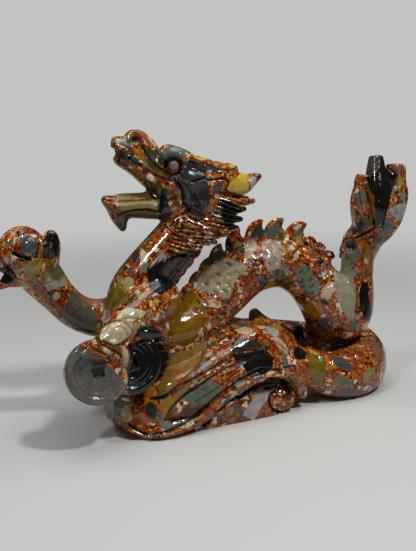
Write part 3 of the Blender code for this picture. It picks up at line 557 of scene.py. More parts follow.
def loft(form, rows, across=(0, 1, 0), sides=24, steps=5, boxy=2.0, dome=1.0, place=None):
    """Adds a closed form whose oval sections follow the rows, with domed ends."""
    rows = [row if len(row) == 5 else (*row, row[3]) for row in rows]
    path = along(rows, steps)
    path[:, 3:] = np.maximum(path[:, 3:], 0.4)
    points = path[:, :3]
    tangents = np.gradient(points, axis=0)
    place = place or Matrix()
    bulge = 2 / boxy
    ends = [(math.sin(turn), math.cos(turn) * dome) for turn in np.radians((0, 20, 40, 65))]
    stations = [(0, -reach, spread) for spread, reach in ends]
    stations.extend((index, 0, 1) for index in range(len(path)))
    stations.extend((len(path) - 1, reach, spread) for spread, reach in reversed(ends))
    rings = []
    for index, reach, spread in stations:
        tangent = Vector(tangents[index]).normalized()
        side = Vector(across).cross(tangent).normalized()
        lift = tangent.cross(side)
        high, wide = path[index, 3], path[index, 4]
        middle = Vector(points[index]) + tangent * reach * min(high, wide)
        if spread == 0:
            rings.append([form.verts.new(UNIT * (place @ middle))])
            continue
        ring = []
        for number in range(sides):
            turn = 2 * math.pi * number / sides
            east = math.copysign(abs(math.cos(turn)) ** bulge, math.cos(turn)) * high * spread
            north = math.copysign(abs(math.sin(turn)) ** bulge, math.sin(turn)) * wide * spread
            ring.append(form.verts.new(UNIT * (place @ (middle + side * east + lift * north))))
        rings.append(ring)
    for near, far in zip(rings, rings[1:]):
        for number in range(sides):
            after = (number + 1) % sides
            if len(near) == 1:
                form.faces.new((near[0], far[after], far[number]))
            elif len(far) == 1:
                form.faces.new((near[number], near[after], far[0]))
            else:
                form.faces.new((near[number], near[after], far[after], far[number]))


def head_matrix():
    """From the head's plane (forward, towards the viewer's side, up) to the figure."""
    forward = Vector((-math.cos(HEAD_TURN), math.sin(HEAD_TURN), 0))
    side = Vector((-math.sin(HEAD_TURN), -math.cos(HEAD_TURN), 0))
    turned = Matrix((forward, side, Vector((0, 0, 1)))).transposed().to_4x4()
    return Matrix.Translation(Vector(HEAD_PLACE)) @ turned


def add_limbs(form):
    """Trunk, forelegs, hind leg and the tail that comes round the end of the base."""
    loft(form, TRUNK, sides=36)
    loft(form, ((-92, 8, 95, 22), (-110, 12, 91, 18.5), (-128, 14, 93, 16.5), (-143, 15, 101, 15.5),
                (-156, 14, 115, 15.5), (-168, 12, 131, 18), (-178, 10, 145, 19.5)))
    loft(form, ((-176, 8, 141, 17), (-184, 4, 150, 21), (-188, 3, 160, 19)))
    loft(form, ((-78, -12, 108, 24), (-95, -22, 104, 20), (-110, -34, 100, 16), (-122, -42, 96, 12)))
    loft(form, ((96, -10, 96, 25, 20), (110, -16, 82, 26, 20), (122, -17, 70, 22, 19),
                (131, -16, 76, 18, 18), (133, -15, 94, 17, 17), (133, -14, 114, 15.5, 16),
                (134, -14, 134, 16.5, 16), (143, -14, 152, 18, 16), (152, -14, 168, 21, 17),
                (156, -14, 182, 20, 17)))
    loft(form, ((118, -14, 138, 6), (128, -14, 144, 13), (138, -14, 150, 14)))
    loft(form, ((128, 18, 52, 24, 24), (144, 15, 34, 24, 25), (148, -6, 25, 24, 25), (133, -29, 21, 23, 25),
                (110, -36, 20, 23, 24), (88, -38, 24, 20, 21), (68, -35, 33, 18, 18), (52, -26, 44, 17, 17),
                (42, -8, 58, 14, 14), (36, 6, 69, 10, 10), (34, 12, 77, 6, 6)), across=(0, 0, 1), boxy=2.3)


def add_water(form):
    """The block of water with its swells, the rolled lip with its scroll, and plainer swells behind."""
    loft(form, ((-115, -1, 6, 15, 26), (-110, -1, 6, 19, 40), (-100, -1, 6, 21, 52), (-64, -1, 6, 22, 55),
                (-20, -1, 6, 24, 55), (18, -1, 6, 24, 54), (34, 0, 6, 20, 49)),
         sides=48, boxy=4.5, dome=0.3)
    loft(form, ((30, 31, 6, 20, 24), (80, 31, 6, 20, 24), (104, 29, 6, 20, 24), (128, 23, 6, 18, 20)),
         sides=36, boxy=4, dome=0.3)
    loft(form, ((-90, -32, 32, 9, 15), (-71, -35, 41, 11, 18), (-46, -36, 45, 14, 20),
                (-18, -32, 55, 17, 20), (8, -28, 61, 18, 20), (32, -28, 56, 17, 18),
                (49, -30, 43, 13, 15)))
    loft(form, ((-111, -24, 22, 12, 16), (-94, -36, 17, 16, 19), (-62, -40, 24, 18, 18),
                (-34, -40, 36, 17, 18), (-4, -40, 47, 15, 17), (26, -39, 46, 14, 16),
                (46, -39, 33, 11, 15), (53, -41, 18, 7.5, 11)))
    loft(form, ((-119, -22, 18, 5), (-113, -43, 11, 6), (-99, -52, 6, 6), (-78, -56, 6, 6),
                (-55, -56, 12, 6), (-31, -56, 23, 6), (-11, -55, 36, 5.5), (14, -54, 42, 5.5),
                (34, -52, 40, 5.5), (48, -51, 28, 5.5), (53, -49, 13, 5)))
    loft(form, ((33, -30, 12, 11), (33, -46, 12.5, 12.5)), across=(0, 0, 1))
    loft(form, ((-96, -8, 46, 18, 24), (-60, -8, 58, 16, 24), (-20, -8, 62, 15, 22), (16, -6, 62, 14, 20),
                (40, -4, 52, 12, 18)))
    loft(form, ((-108, 22, 26, 18, 18), (-70, 34, 36, 20, 18), (-20, 36, 46, 22, 18), (34, 34, 46, 20, 18),
                (84, 32, 38, 20, 20), (124, 26, 30, 20, 20)))
    loft(form, ((-84, 20, 50, 20, 20), (-40, 20, 58, 18, 20), (6, 18, 60, 16, 18), (40, 18, 50, 14, 16)))


def add_skull(form, place):
    """Skull, jaws and cheeks."""
    loft(form, ((-42, 0, 197, 13, 14), (-26, 0, 203, 21, 20), (-6, 0, 208, 23, 21.5), (10, 0, 212, 21, 19),
                (22, 0, 218, 17, 16)), place=place)
    loft(form, ((6, 0, 214, 20, 17), (22, 0, 217, 16.5, 15.5), (36, 0, 227, 14.5, 13.5),
                (48, 0, 234, 13, 12.5), (56, 0, 238, 12, 13), (60, 0, 238, 11.5, 13.5)),
         dome=0.15, place=place)
    loft(form, ((30, 0, 238, 9, 9), (40, 0, 247, 8.5, 11), (46, 0, 246, 6, 10)), place=place)
    loft(form, ((2, 0, 194, 14, 16), (22, 0, 190, 12.5, 14), (38, 0, 190, 11.5, 12), (54, 0, 191, 10.5, 11),
                (63, 0, 193, 8, 10), (68, 0, 196, 4.5, 8)), place=place)
    loft(form, ((58, 0, 186, 9, 8), (56, 0, 178, 7, 6.5), (54, 0, 171, 4, 4)), place=place)


def add_paws(form):
    """Toes of the near paw over the coins, the raised fist and the upright hind foot."""
    loft(form, ((-124, -44, 97, 11.5), (-127, -47, 95, 11)))
    for toe in (((-124, -45, 98, 7), (-138, -53, 93, 6), (-149, -58, 89, 4.5), (-157, -60, 86, 2)),
                ((-124, -47, 93, 7), (-131, -56, 89, 5.5), (-138, -60, 85, 4), (-143, -61, 82, 2)),
                ((-118, -46, 90, 7), (-119, -54, 83, 5.5), (-119, -58, 75, 4.5), (-120, -59, 68, 2)),
                ((-110, -35, 90, 8), (-98, -38, 91, 7.5), (-86, -38, 88, 6), (-78, -35, 81, 3)),
                ((-174, 8, 148, 12), (-182, 2, 165, 13), (-192, -3, 168, 12), (-201, -7, 160, 9.5),
                 (-204, -9, 150, 5)),
                ((-170, 2, 150, 11), (-175, -6, 163, 10), (-183, -12, 166, 9), (-190, -15, 158, 6)),
                ((-165, 9, 138, 9), (-163, 8, 150, 8), (-162, 7, 161, 8), (-162, 7, 168, 6.5)),
                ((-180, 4, 142, 13), (-192, 0, 139, 9), (-201, -3, 137, 6), (-207, -5, 133, 2.5)),
                ((-180, 16, 150, 12), (-190, 16, 162, 11), (-199, 12, 156, 8), (-202, 8, 146, 4)),
                ((170, -14, 172, 11), (159, -14, 157, 12), (147, -14, 144, 12), (140, -14, 130, 11)),
                ((128, -10, 146, 9), (121, -10, 137, 5), (117, -10, 131, 2.5))):
        loft(form, toe)
    for toe in (((138, -20, 158, 12), (129, -22, 174, 9), (126, -24, 188, 8.5), (127, -23, 199, 6.5),
                 (127, -22, 205, 5.5), (128, -22, 210, 4.5)),
                ((146, -26, 160, 13), (143, -30, 180, 14), (142, -28, 198, 12.5), (142, -25, 212, 9),
                 (143, -22, 227, 6)),
                ((146, -24, 176, 13), (152, -22, 194, 12), (158, -19, 204, 7)),
                ((146, -14, 142, 8), (156, -14, 153, 12), (165, -14, 164, 13), (170, -14, 176, 13),
                 (173, -14, 190, 12.5), (174, -13, 200, 10), (175, -12, 217, 8.5))):
        loft(form, toe, boxy=2.8, dome=0.15)


def add_head_sides(form, place):
    """Brow, lip ridge, ear, horn and tine on both sides of the head."""
    for hand in (1, -1):
        for rows in (((20, 9, 231, 4), (12, 11, 235, 6.5), (2, 14, 233, 5.5), (-8, 16, 228, 4)),
                     ((50, 11, 233, 3), (38, 12.5, 221, 3.2), (24, 14, 211, 3.4), (12, 17, 206, 3.6),
                      (6, 19, 198, 3.6), (6, 18, 188, 3)),
                     ((4, 19, 219, 7, 5), (-8, 22, 212, 9, 5), (-14, 23, 200, 8, 5), (-17, 21, 188, 4, 3)),
                     ((2, 11, 226, 7), (-14, 11, 224, 7.5), (-28, 11, 218, 7.5), (-40, 11, 212, 6),
                      (-50, 11, 210, 3)),
                     ((-22, 9, 216, 10), (-34, 9, 217, 9.5), (-43, 8.5, 220, 4.6)),
                     ((-24, 10, 209, 12), (-40, 8, 207, 12.5), (-53, 6, 207, 9.5), (-60, 5, 209, 6),
                      (-68, 4, 213, 2.8))):
            loft(form, [(row[0], row[1] * hand, *row[2:]) for row in rows], place=place)


def add_mane(form, place, sizes):
    """Locks swept back from the cheeks, each a tapering strand beside the next."""
    thick = sizes.lock_thickness / 2 / UNIT
    roots = ((-14, 199), (-14, 193), (-12, 187), (-9, 181), (-4, 176), (1, 172), (6, 169), (10, 167))
    tips = ((-61, 192), (-53, 185), (-50, 176), (-47, 168), (-38, 163), (-27, 156), (-14, 152), (0, 149))
    for hand in (1, -1):
        for number, ((root, root_up), (tip, tip_up)) in enumerate(zip(roots, tips)):
            side = 20 - 0.6 * number
            loft(form, ((root + 6, hand * (side - 4), root_up + 3, thick, thick * 1.6),
                        (0.5 * (root + tip), hand * (side + 1), 0.5 * (root_up + tip_up) - 3,
                         thick * 1.5, thick * 2),
                        (0.25 * root + 0.75 * tip, hand * (side - 5), 0.3 * root_up + 0.7 * tip_up - 2,
                         thick * 1.2, thick * 1.8),
                        (tip, hand * (side - 11), tip_up, thick * 0.8, thick)), place=place)


class Spine:
    """The trunk's line, read by the distance travelled along it."""

    def __init__(self):
        self.path = along(TRUNK, 12)
        strides = np.linalg.norm(np.diff(self.path[:, :3], axis=0), axis=1)
        self.travelled = np.concatenate([[0], np.cumsum(strides)])
        self.length = self.travelled[-1]

    def at(self, distance):
        """Centre, forward and outward directions, and half thickness both ways."""
        row = [np.interp(distance, self.travelled, self.path[:, axis]) for axis in range(5)]
        ahead = Vector([np.interp(distance + 2, self.travelled, self.path[:, axis]) for axis in range(3)])
        centre = Vector(row[:3])
        forward = (ahead - centre).normalized()
        return centre, forward, forward.cross(Vector((0, 1, 0))), row[3], row[4]


def add_fins(form, sizes):
    """Hooked fins along the back: small on the neck, tall on the arch, knobs towards the rear."""
    spine = Spine()
    half = sizes.fin_thickness / 2 / UNIT
    for stretch, spacing, height, first in (
            (NECK_FINS, sizes.neck_fin_spacing, sizes.neck_fin_height, 0.8),
            (ARCH_FINS, sizes.fin_spacing, sizes.fin_height, 0.25),
            (REAR_FINS, sizes.rear_fin_spacing, sizes.rear_fin_height, 1)):
        begin, end = (share * spine.length for share in stretch)
        width = spacing / UNIT
        count = max(1, round((end - begin) / width))
        for number in range(count):
            share = (number + 0.5) / count
            tall = height / UNIT * min(1, first + 1.2 * share) + 3
            centre, forward, out, thick, _ = spine.at(begin + (end - begin) * share)
            root = centre + out * (thick - 3)
            rows = []
            for rise, lean, wide, flat in FIN_STATIONS:
                spot = root + out * (rise * tall) + forward * (lean * width)
                rows.append((*spot, wide * width, half * flat))
            loft(form, rows, sides=16, dome=0.3)


def only(piece):
    """Makes a piece the one that operators act on."""
    bpy.ops.object.select_all(action="DESELECT")
    piece.select_set(True)
    bpy.context.view_layer.objects.active = piece


def apply_modifier(piece, kind, **settings):
    """Puts a modifier on a piece and applies it."""
    modifier = piece.modifiers.new(kind.lower(), kind)
    for name, value in settings.items():
        setattr(modifier, name, value)
    only(piece)
    bpy.ops.object.modifier_apply(modifier=modifier.name)


def select_top(coin):
    """Selects the innermost face of the coin's top, in edit mode."""
    bpy.ops.mesh.select_mode(type="FACE")
    form = bmesh.from_edit_mesh(coin.data)
    for face in form.faces:
        face.select = False
    top = next(face for face in form.faces if face.normal.z > 0.99 and len(face.verts) > 8)
    top.select = True
    bmesh.update_edit_mesh(coin.data)


def model_coin(number, centre, facing, ridges, sizes):
    """A thick coin with a bevelled rim, ridges inside it and a framed square hole."""
    bpy.ops.object.select_all(action="DESELECT")
    bpy.ops.mesh.primitive_cylinder_add(vertices=96, radius=sizes.coin_diameter / 2,
                                        depth=sizes.coin_thickness)
    coin = bpy.context.object
    coin.name = f"coin_{number}"
    rim, relief = sizes.coin_rim, sizes.coin_relief
    bpy.ops.object.mode_set(mode="EDIT")
    for inward, rise in COIN_RIM + COIN_RIDGE * ridges:
        select_top(coin)
        bpy.ops.mesh.inset(thickness=inward * rim, depth=rise * relief)
    bpy.ops.object.mode_set(mode="OBJECT")
    face = sizes.coin_thickness / 2 + 0.1 * relief
    for size, rise in ((sizes.coin_hole * COIN_FRAME, 0.6 * relief), (sizes.coin_hole, 2.4 * relief)):
        bpy.ops.mesh.primitive_cube_add(size=1)
        tool = bpy.context.object
        tool.data.transform(Matrix.Diagonal((size, size, 2 * rise, 1)))
        tool.data.transform(Matrix.Rotation(COIN_HOLE_TURN, 4, "Z"))
        tool.data.transform(Matrix.Translation((0, 0, face)))
        apply_modifier(coin, "BOOLEAN", object=tool, solver="EXACT",
                       operation="UNION" if size > sizes.coin_hole else "DIFFERENCE")
        bpy.data.objects.remove(tool)
    turned = Vector(facing).normalized().to_track_quat("Z", "Y").to_matrix().to_4x4()
    coin.data.transform(Matrix.Translation(UNIT * Vector(centre)) @ turned)
    return coin


def new_piece(form, name):
    """A linked object with a form's mesh, whose faces point outwards."""
    bmesh.ops.recalc_face_normals(form, faces=form.faces)
    mesh = bpy.data.meshes.new(name)
    form.to_mesh(mesh)
    form.free()
    piece = bpy.data.objects.new(name, mesh)
    bpy.context.scene.collection.objects.link(piece)
    return piece


def rough_out(sizes, place):
    """The mass of the figure in one skin, evened out where limbs meet."""
    form = bmesh.new()
    add_limbs(form)
    add_water(form)
    add_skull(form, place)
    piece = new_piece(form, "dragon_stone")
    apply_modifier(piece, "REMESH", mode="VOXEL", voxel_size=sizes.mass_grain)
    apply_modifier(piece, "SMOOTH", factor=0.5, iterations=MASS_SMOOTHING)
    return piece


def add_details(piece, sizes, place):
    """Joins paws, coins, head sides, eyes, mane and fins to the mass, in one finer skin."""
    form = bmesh.new()
    add_paws(form)
    add_head_sides(form, place)
    add_mane(form, place, sizes)
    add_fins(form, sizes)
    parts = [new_piece(form, "details")]
    for number, (centre, facing, ridges) in enumerate(COIN_PLACES, 1):
        parts.append(model_coin(number, centre, facing, ridges, sizes))
    ahead, side, up = EYE_SPOT
    for hand in (1, -1):
        bpy.ops.object.select_all(action="DESELECT")
        bpy.ops.mesh.primitive_uv_sphere_add(segments=32, ring_count=16, radius=sizes.eye_diameter / 2)
        eye = bpy.context.object
        eye.data.transform(Matrix.Translation(UNIT * (place @ Vector((ahead, side * hand, up)))))
        parts.append(eye)
    only(piece)
    for part in parts:
        part.select_set(True)
    bpy.ops.object.join()
    apply_modifier(piece, "REMESH", mode="VOXEL", voxel_size=sizes.carving_grain)
    apply_modifier(piece, "SMOOTH", factor=0.5, iterations=SKIN_SMOOTHING)


def tree_of(mesh):
    """The skin as a tree that rays and nearest points are looked up in."""
    mesh.calc_loop_triangles()
    corners = [vert.co for vert in mesh.vertices]
    triangles = [triangle.vertices for triangle in mesh.loop_triangles]
    return BVHTree.FromPolygons(corners, triangles)


def sight(column, row):
    """Direction in which the camera sees a pixel of its frame."""
    ahead = Vector((column - FRAME_WIDTH / 2, FRAME_HEIGHT / 2 - row, -FOCAL_PIXELS))
    return (CAMERA_AXES @ ahead).normalized()


def seen(tree, column, row):
    """Point and normal of the skin at a pixel, or None beside the figure."""
    point, normal, _, _ = tree.ray_cast(CAMERA_PLACE, sight(column, row))
    return (point, normal) if point else None


def traced(tree, pixels):
    """A route of pixels laid on the skin."""
    points = []
    for column, row in along(pixels, 6):
        hit = seen(tree, column, row)
        if hit:
            points.append(hit[0])
    return points


def mirrored(tree, points, place):
    """The same route on the other side of the head."""
    back = place.inverted()
    result = []
    for point in points:
        drawn = back @ (point / UNIT)
        drawn.y = -drawn.y
        result.append(tree.find_nearest(UNIT * (place @ drawn))[0])
    return result


def sheaf(count, first, last):
    """Lines spread evenly from a first to a last one."""
    spots = np.linspace(0, 1, 9)
    sides = []
    for line in (along(first, 4), along(last, 4)):
        stations = np.linspace(0, 1, len(line))
        sides.append(np.stack([np.interp(spots, stations, line[:, axis]) for axis in (0, 1)], axis=1))
    first, last = sides
    return [first + (last - first) * number / (count - 1) for number in range(count)]


def points_and_normals(mesh):
    """The place and the normal of each point of a mesh, one to a row."""
    result = []
    for holder, name in ((mesh.vertices, "co"), (mesh.vertex_normals, "vector")):
        values = np.empty(len(mesh.vertices) * 3, np.float32)
        holder.foreach_get(name, values)
        result.append(values.reshape(-1, 3))
    return result


def gap_to(spots, start, end):
    """How far each spot lies from a straight stretch."""
    span = end - start
    share = np.clip((spots - start) @ span / (span @ span), 0, 1)
    return np.linalg.norm(spots - start - share[:, None] * span, axis=1)


class Skin:
    """The skin's points, with how far each is pressed in or raised."""

    def __init__(self, mesh):
        self.mesh = mesh
        self.points, self.normals = points_and_normals(mesh)
        self.sunk = np.zeros(len(self.points), np.float32)
        self.raised = np.zeros(len(self.points), np.float32)

    def near(self, low, high, reach):
        """Numbers of the points in a box grown by a reach."""
        inside = np.all((self.points > low - reach) & (self.points < high + reach), axis=1)
        return np.nonzero(inside)[0]

    def stroke(self, route, width, depth):
        """A groove along a route, or a raised line where the depth is negative. Lengths in metres."""
        if len(route) < 2:
            return
        route = np.array([tuple(point) for point in route], np.float32)
        chosen = self.near(route.min(0), route.max(0), width)
        spots = self.points[chosen]
        gap = np.full(len(chosen), np.inf, np.float32)
        for start, end in zip(route, route[1:]):
            reach = (end - start) @ (end - start)
            if 0 < reach <= (LONGEST_STEP * UNIT) ** 2:
                gap = np.minimum(gap, gap_to(spots, start, end))
        bowl = np.clip(1 - (2 * gap / width) ** 2, 0, 1)
        if depth > 0:
            self.sunk[chosen] = np.maximum(self.sunk[chosen], depth * bowl)
        else:
            self.raised[chosen] = np.maximum(self.raised[chosen], -depth * bowl)

    def hollow(self, centre, radius, depth):
        """A round hollow."""
        centre = np.array(centre, np.float32)
        chosen = self.near(centre, centre, radius)
        gap = np.linalg.norm(self.points[chosen] - centre, axis=1)
        self.sunk[chosen] = np.maximum(self.sunk[chosen], depth * np.clip(1 - (gap / radius) ** 2, 0, 1))

    def finish(self):
        """Moves the mesh's points along their normals."""
        moved = self.points + self.normals * (self.raised - self.sunk)[:, None]
        self.mesh.vertices.foreach_set("co", moved.ravel())
        self.mesh.update()


def gouge_scales(skin, tree, sizes):
    """Small crescents in offset rows on both flanks of the back."""
    chance = random.Random(8)
    spine = Spine()
    step = sizes.scale_spacing / UNIT
    begin, end = (share * spine.length for share in SCALED_BACK)
    for ring in range(int((end - begin) / (0.5 * step))):
        centre, forward, out, high, wide = spine.at(begin + ring * 0.5 * step)
        for hand in (1, -1):
            for line in range(SCALE_ROWS):
                turn = SCALE_FIRST + SCALE_STEP * (line + 0.5 * (ring % 2)) + chance.uniform(-6, 6)
                turn = math.radians(turn)
                side = Vector((0, -hand, 0))
                spot = centre + out * (math.cos(turn) * high) + side * (math.sin(turn) * wide)
                point, normal, _, gap = tree.find_nearest(UNIT * spot)
                if gap > SCALE_REACH * UNIT:
                    continue
                ahead = (forward - normal * forward.dot(normal)).normalized()
                across = normal.cross(ahead)
                bends = np.radians(np.linspace(-SCALE_ARC, SCALE_ARC, 6) + chance.uniform(-15, 15))
                arc = [point + sizes.scale_radius * (math.cos(bend) * ahead + math.sin(bend) * across)
                       for bend in bends]
                skin.stroke(arc, SCALE_WIDTH * sizes.scale_depth, sizes.scale_depth)


def cut_strokes(piece, place, sizes):
    """Grooves, ridges, hollows and scales, pressed into the skin."""
    tree = tree_of(piece.data)
    skin = Skin(piece.data)
    head = list(HEAD_STROKES)
    for count, first, last in MANE_SHEAVES:
        head.extend((*MANE_GROOVE, line) for line in sheaf(count, first, last))
    for width, depth, pixels in head:
        route = traced(tree, pixels)
        skin.stroke(route, width * UNIT, depth * UNIT)
        skin.stroke(mirrored(tree, route, place), width * UNIT, depth * UNIT)
    for width, depth, pixels in BODY_STROKES + WAVE_STROKES:
        skin.stroke(traced(tree, pixels), width * UNIT, depth * UNIT)
    for _, depth, pixels in WAVE_STROKES[:REAR_WAVES]:
        rear = [tree.find_nearest(Vector((point.x, -point.y, point.z)))[0]
                for point in traced(tree, pixels)]
        skin.stroke(rear, REAR_WAVE_WIDTH * UNIT, depth * UNIT)
    for (column, row), radius, depth in HOLLOWS:
        hit = seen(tree, column, row)
        if hit:
            skin.hollow(hit[0], radius * UNIT, depth * UNIT)
    nostril = mirrored(tree, [seen(tree, *NOSTRIL_PIXEL)[0]], place)[0]
    skin.hollow(nostril, FAR_NOSTRIL[0] * UNIT, FAR_NOSTRIL[1] * UNIT)
    route, width, depth = LIP_NOTCH
    notch = [tree.find_nearest(UNIT * (place @ Vector(spot)))[0] for spot in route]
    skin.stroke(notch, width * UNIT, depth * UNIT)
    gouge_scales(skin, tree, sizes)
    skin.finish()
    return tree


def level_underside(piece):
    """Cuts the stone off flat on the plane that it stands on."""
    only(piece)
    bpy.ops.object.mode_set(mode="EDIT")
    bpy.ops.mesh.select_all(action="SELECT")
    bpy.ops.mesh.bisect(plane_co=(0, 0, CAD_LOW.z), plane_no=(0, 0, 1), use_fill=True, clear_inner=True,
                        threshold=1e-6)
    bpy.ops.mesh.select_all(action="SELECT")
    bpy.ops.mesh.quads_convert_to_tris()
    bpy.ops.object.mode_set(mode="OBJECT")


def largest_island(form):
    """The faces of the largest connected part."""
    largest, left = [], set(form.faces)
    while left:
        island, beside = [], [left.pop()]
        while beside:
            face = beside.pop()
            island.append(face)
            fresh = {other for edge in face.edges for other in edge.link_faces if other in left}
            left -= fresh
            beside.extend(fresh)
        largest = max(largest, island, key=len)
    return set(largest)


def drop_crumbs(piece):
    """Keeps the one closed skin, without the crumbs beside it."""
    form = bmesh.new()
    form.from_mesh(piece.data)
    kept = largest_island(form)
    bmesh.ops.delete(form, geom=[face for face in form.faces if face not in kept], context="FACES")
    bmesh.ops.recalc_face_normals(form, faces=form.faces)
    form.to_mesh(piece.data)
    form.free()


def outline_gap(offset, axes, halves, corners):
    """How far inside a many-cornered fragment each point lies, in units of its half width."""
    shares = [offset @ axis / half for axis, half in zip(axes, halves)]
    flat = np.zeros(len(offset), np.float32)
    for turn, reach in corners:
        flat = np.maximum(flat, (shares[0] * math.cos(turn) + shares[1] * math.sin(turn)) / reach)
    return 1 - np.sqrt(flat ** 2 + shares[2] ** 2)


def note(mesh, name, values):
    """Writes one number for each point on the mesh, as an attribute."""
    mesh.attributes.new(name, "FLOAT", "POINT").data.foreach_set("value", values)


def note_grooves(mesh, uncut):
    """Writes how deep under the uncut skin each point lies, in millimetres, on the mesh."""
    depths = []
    for vert in mesh.vertices:
        place, normal, _, gap = uncut.find_nearest(vert.co)
        depths.append(gap / UNIT if (vert.co - place).dot(normal) < 0 else 0)
    note(mesh, "groove_depth", depths)


def lay_fragments(mesh):
    """Writes each point's fragment colour, and how deep inside the fragment it lies, on the mesh."""
    chance = random.Random(20)
    tree = tree_of(mesh)
    points, normals = points_and_normals(mesh)
    edge = np.full(len(points), NO_FRAGMENT, np.float32)
    shade = np.zeros((len(points), 4), np.float32)
    # How the camera sees each point: how far off, at which pixel and at what cosine
    offset = points - np.array(CAMERA_PLACE, np.float32)
    distance = np.linalg.norm(offset, axis=1)
    local = offset @ np.array(CAMERA_AXES, np.float32)
    pixels = np.stack([FRAME_WIDTH / 2 - FOCAL_PIXELS * local[:, 0] / local[:, 2],
                       FRAME_HEIGHT / 2 + FOCAL_PIXELS * local[:, 1] / local[:, 2]], axis=1)
    facing = -np.sum(normals * offset, axis=1) / distance

    def lay(name, middle, axes, halves, hidden=False):
        """A fragment with 6 to 8 corners. A hidden one is left out where the camera would see it."""
        sides = chance.randint(6, 8)
        start = chance.uniform(0, 6)
        corners = [(start + 2 * math.pi * (side + chance.uniform(-0.2, 0.2)) / sides,
                    chance.uniform(0.88, 1.06)) for side in range(sides)]
        chance.random()                              # keeps the later draws, and so the fragments
        reach = 1.3 * max(halves)
        chosen = np.nonzero(np.all(np.abs(points - np.array(middle)) < reach, axis=1))[0]
        offset = points[chosen] - np.array(middle, np.float32)
        deep = outline_gap(offset, [np.array(axis) for axis in axes], halves, corners)
        deep *= min(halves) / UNIT
        if hidden and np.any(facing[chosen[deep > -SEAM]] > TURNED_TO):
            return
        wins = (deep > edge[chosen]) | (deep > -SEAM)
        edge[chosen[wins]] = deep[wins]
        shade[chosen[wins]] = (*linear(PALETTE[name]), 1)

    def lay_patch(name, corners):
        """A patch: what the camera sees within the corners, and the stone a little way behind it."""
        hits = [seen(tree, *spot) for spot in corners]
        reaches = [(hit[0] - CAMERA_PLACE).length for hit in hits if hit]
        corners = np.array(corners, np.float32)
        near, far = min(reaches) - PATCH_FRONT * UNIT, max(reaches) + PATCH_BACK * UNIT
        low, high = corners.min(0) - PATCH_MARGIN, corners.max(0) + PATCH_MARGIN
        chosen = np.nonzero(np.all((pixels > low) & (pixels < high), axis=1)
                            & (distance > near) & (distance < far))[0]
        spots = pixels[chosen]
        gap = np.full(len(chosen), np.inf, np.float32)
        crossings = np.zeros(len(chosen), int)
        for start, end in zip(corners, np.roll(corners, -1, axis=0)):
            gap = np.minimum(gap, gap_to(spots, start, end))
            straddles = (start[1] > spots[:, 1]) != (end[1] > spots[:, 1])
            run, rise = end - start
            rise = np.where(rise == 0, 1e-6, rise)
            crossings += straddles & (spots[:, 0] < start[0] + (spots[:, 1] - start[1]) * run / rise)
        gap = np.where(crossings % 2 == 1, gap, -gap) * distance[chosen] / FOCAL_PIXELS
        deep = np.minimum(gap, np.minimum(distance[chosen] - near, far - distance[chosen])) / UNIT
        wins = (deep > 0) | (deep > edge[chosen])
        edge[chosen] = np.where(wins, deep, np.minimum(edge[chosen], -deep - PATCH_SEAM))
        shade[chosen[wins]] = (*linear(PALETTE[name]), 1)

    placed, triangles = 0, mesh.loop_triangles
    while placed < FAR_FRAGMENTS:
        triangle = triangles[chance.randrange(len(triangles))]
        middle = triangle.center
        back = (CAMERA_PLACE - middle).normalized()
        normal = triangle.normal
        if normal.dot(back) > TURNED_AWAY:
            continue
        long = normal.orthogonal().normalized()
        long.rotate(Matrix.Rotation(chance.uniform(0, math.pi), 3, normal))
        size = UNIT * (FAR_SMALLEST + (FAR_LARGEST - FAR_SMALLEST) * chance.random() ** 2)
        halves = (size, size * chance.uniform(0.5, 0.9), size)
        lay(chance.choice(FAR_COLOURS), middle, (long, normal.cross(long), normal), halves, hidden=True)
        placed += 1
    right, up = CAMERA_AXES.col[0], CAMERA_AXES.col[1]
    for name, column, row, long, short, turn in FRAGMENTS:
        hit = seen(tree, column, row)
        if not hit:
            continue
        scale = (hit[0] - CAMERA_PLACE).length / FOCAL_PIXELS
        turn = math.radians(turn)
        first = right * math.cos(turn) - up * math.sin(turn)
        second = right * math.sin(turn) + up * math.cos(turn)
        depth = max(long, short) * 1.1
        halves = [scale * half for half in (long, short, depth)]
        lay(name, hit[0], (first, second, sight(column, row)), halves)
    for name, corners in PATCHES:
        lay_patch(name, corners)

    note(mesh, "fragment_edge", edge)
    mesh.attributes.new("fragment_shade", "FLOAT_COLOR", "POINT").data.foreach_set("color", shade.ravel())


def add_node(tree, kind, inputs=None, output=0, **settings):
    """Adds a shader node with its settings, and returns one of its outputs.

    An input is a value, or a socket to link.
    """
    made = tree.nodes.new(f"ShaderNode{kind}")
    for name, value in settings.items():
        setattr(made, name, value)
    for name, value in (inputs or {}).items():
        if isinstance(value, bpy.types.NodeSocket):
            tree.links.new(value, made.inputs[name])
        else:
            made.inputs[name].default_value = value
    return made.outputs[output]


def ramp_of(tree, value, stops, shades):
    """The colour that a value picks from named colours, each from its place on."""
    picked = add_node(tree, "ValToRGB", {"Fac": value})
    ramp = picked.node.color_ramp
    ramp.interpolation = "CONSTANT"
    while len(ramp.elements) > 1:
        ramp.elements.remove(ramp.elements[-1])
    for number, (place, name) in enumerate(stops):
        element = ramp.elements[0] if number == 0 else ramp.elements.new(place)
        element.position = place
        element.color = (*shades[name], 1)
    return picked


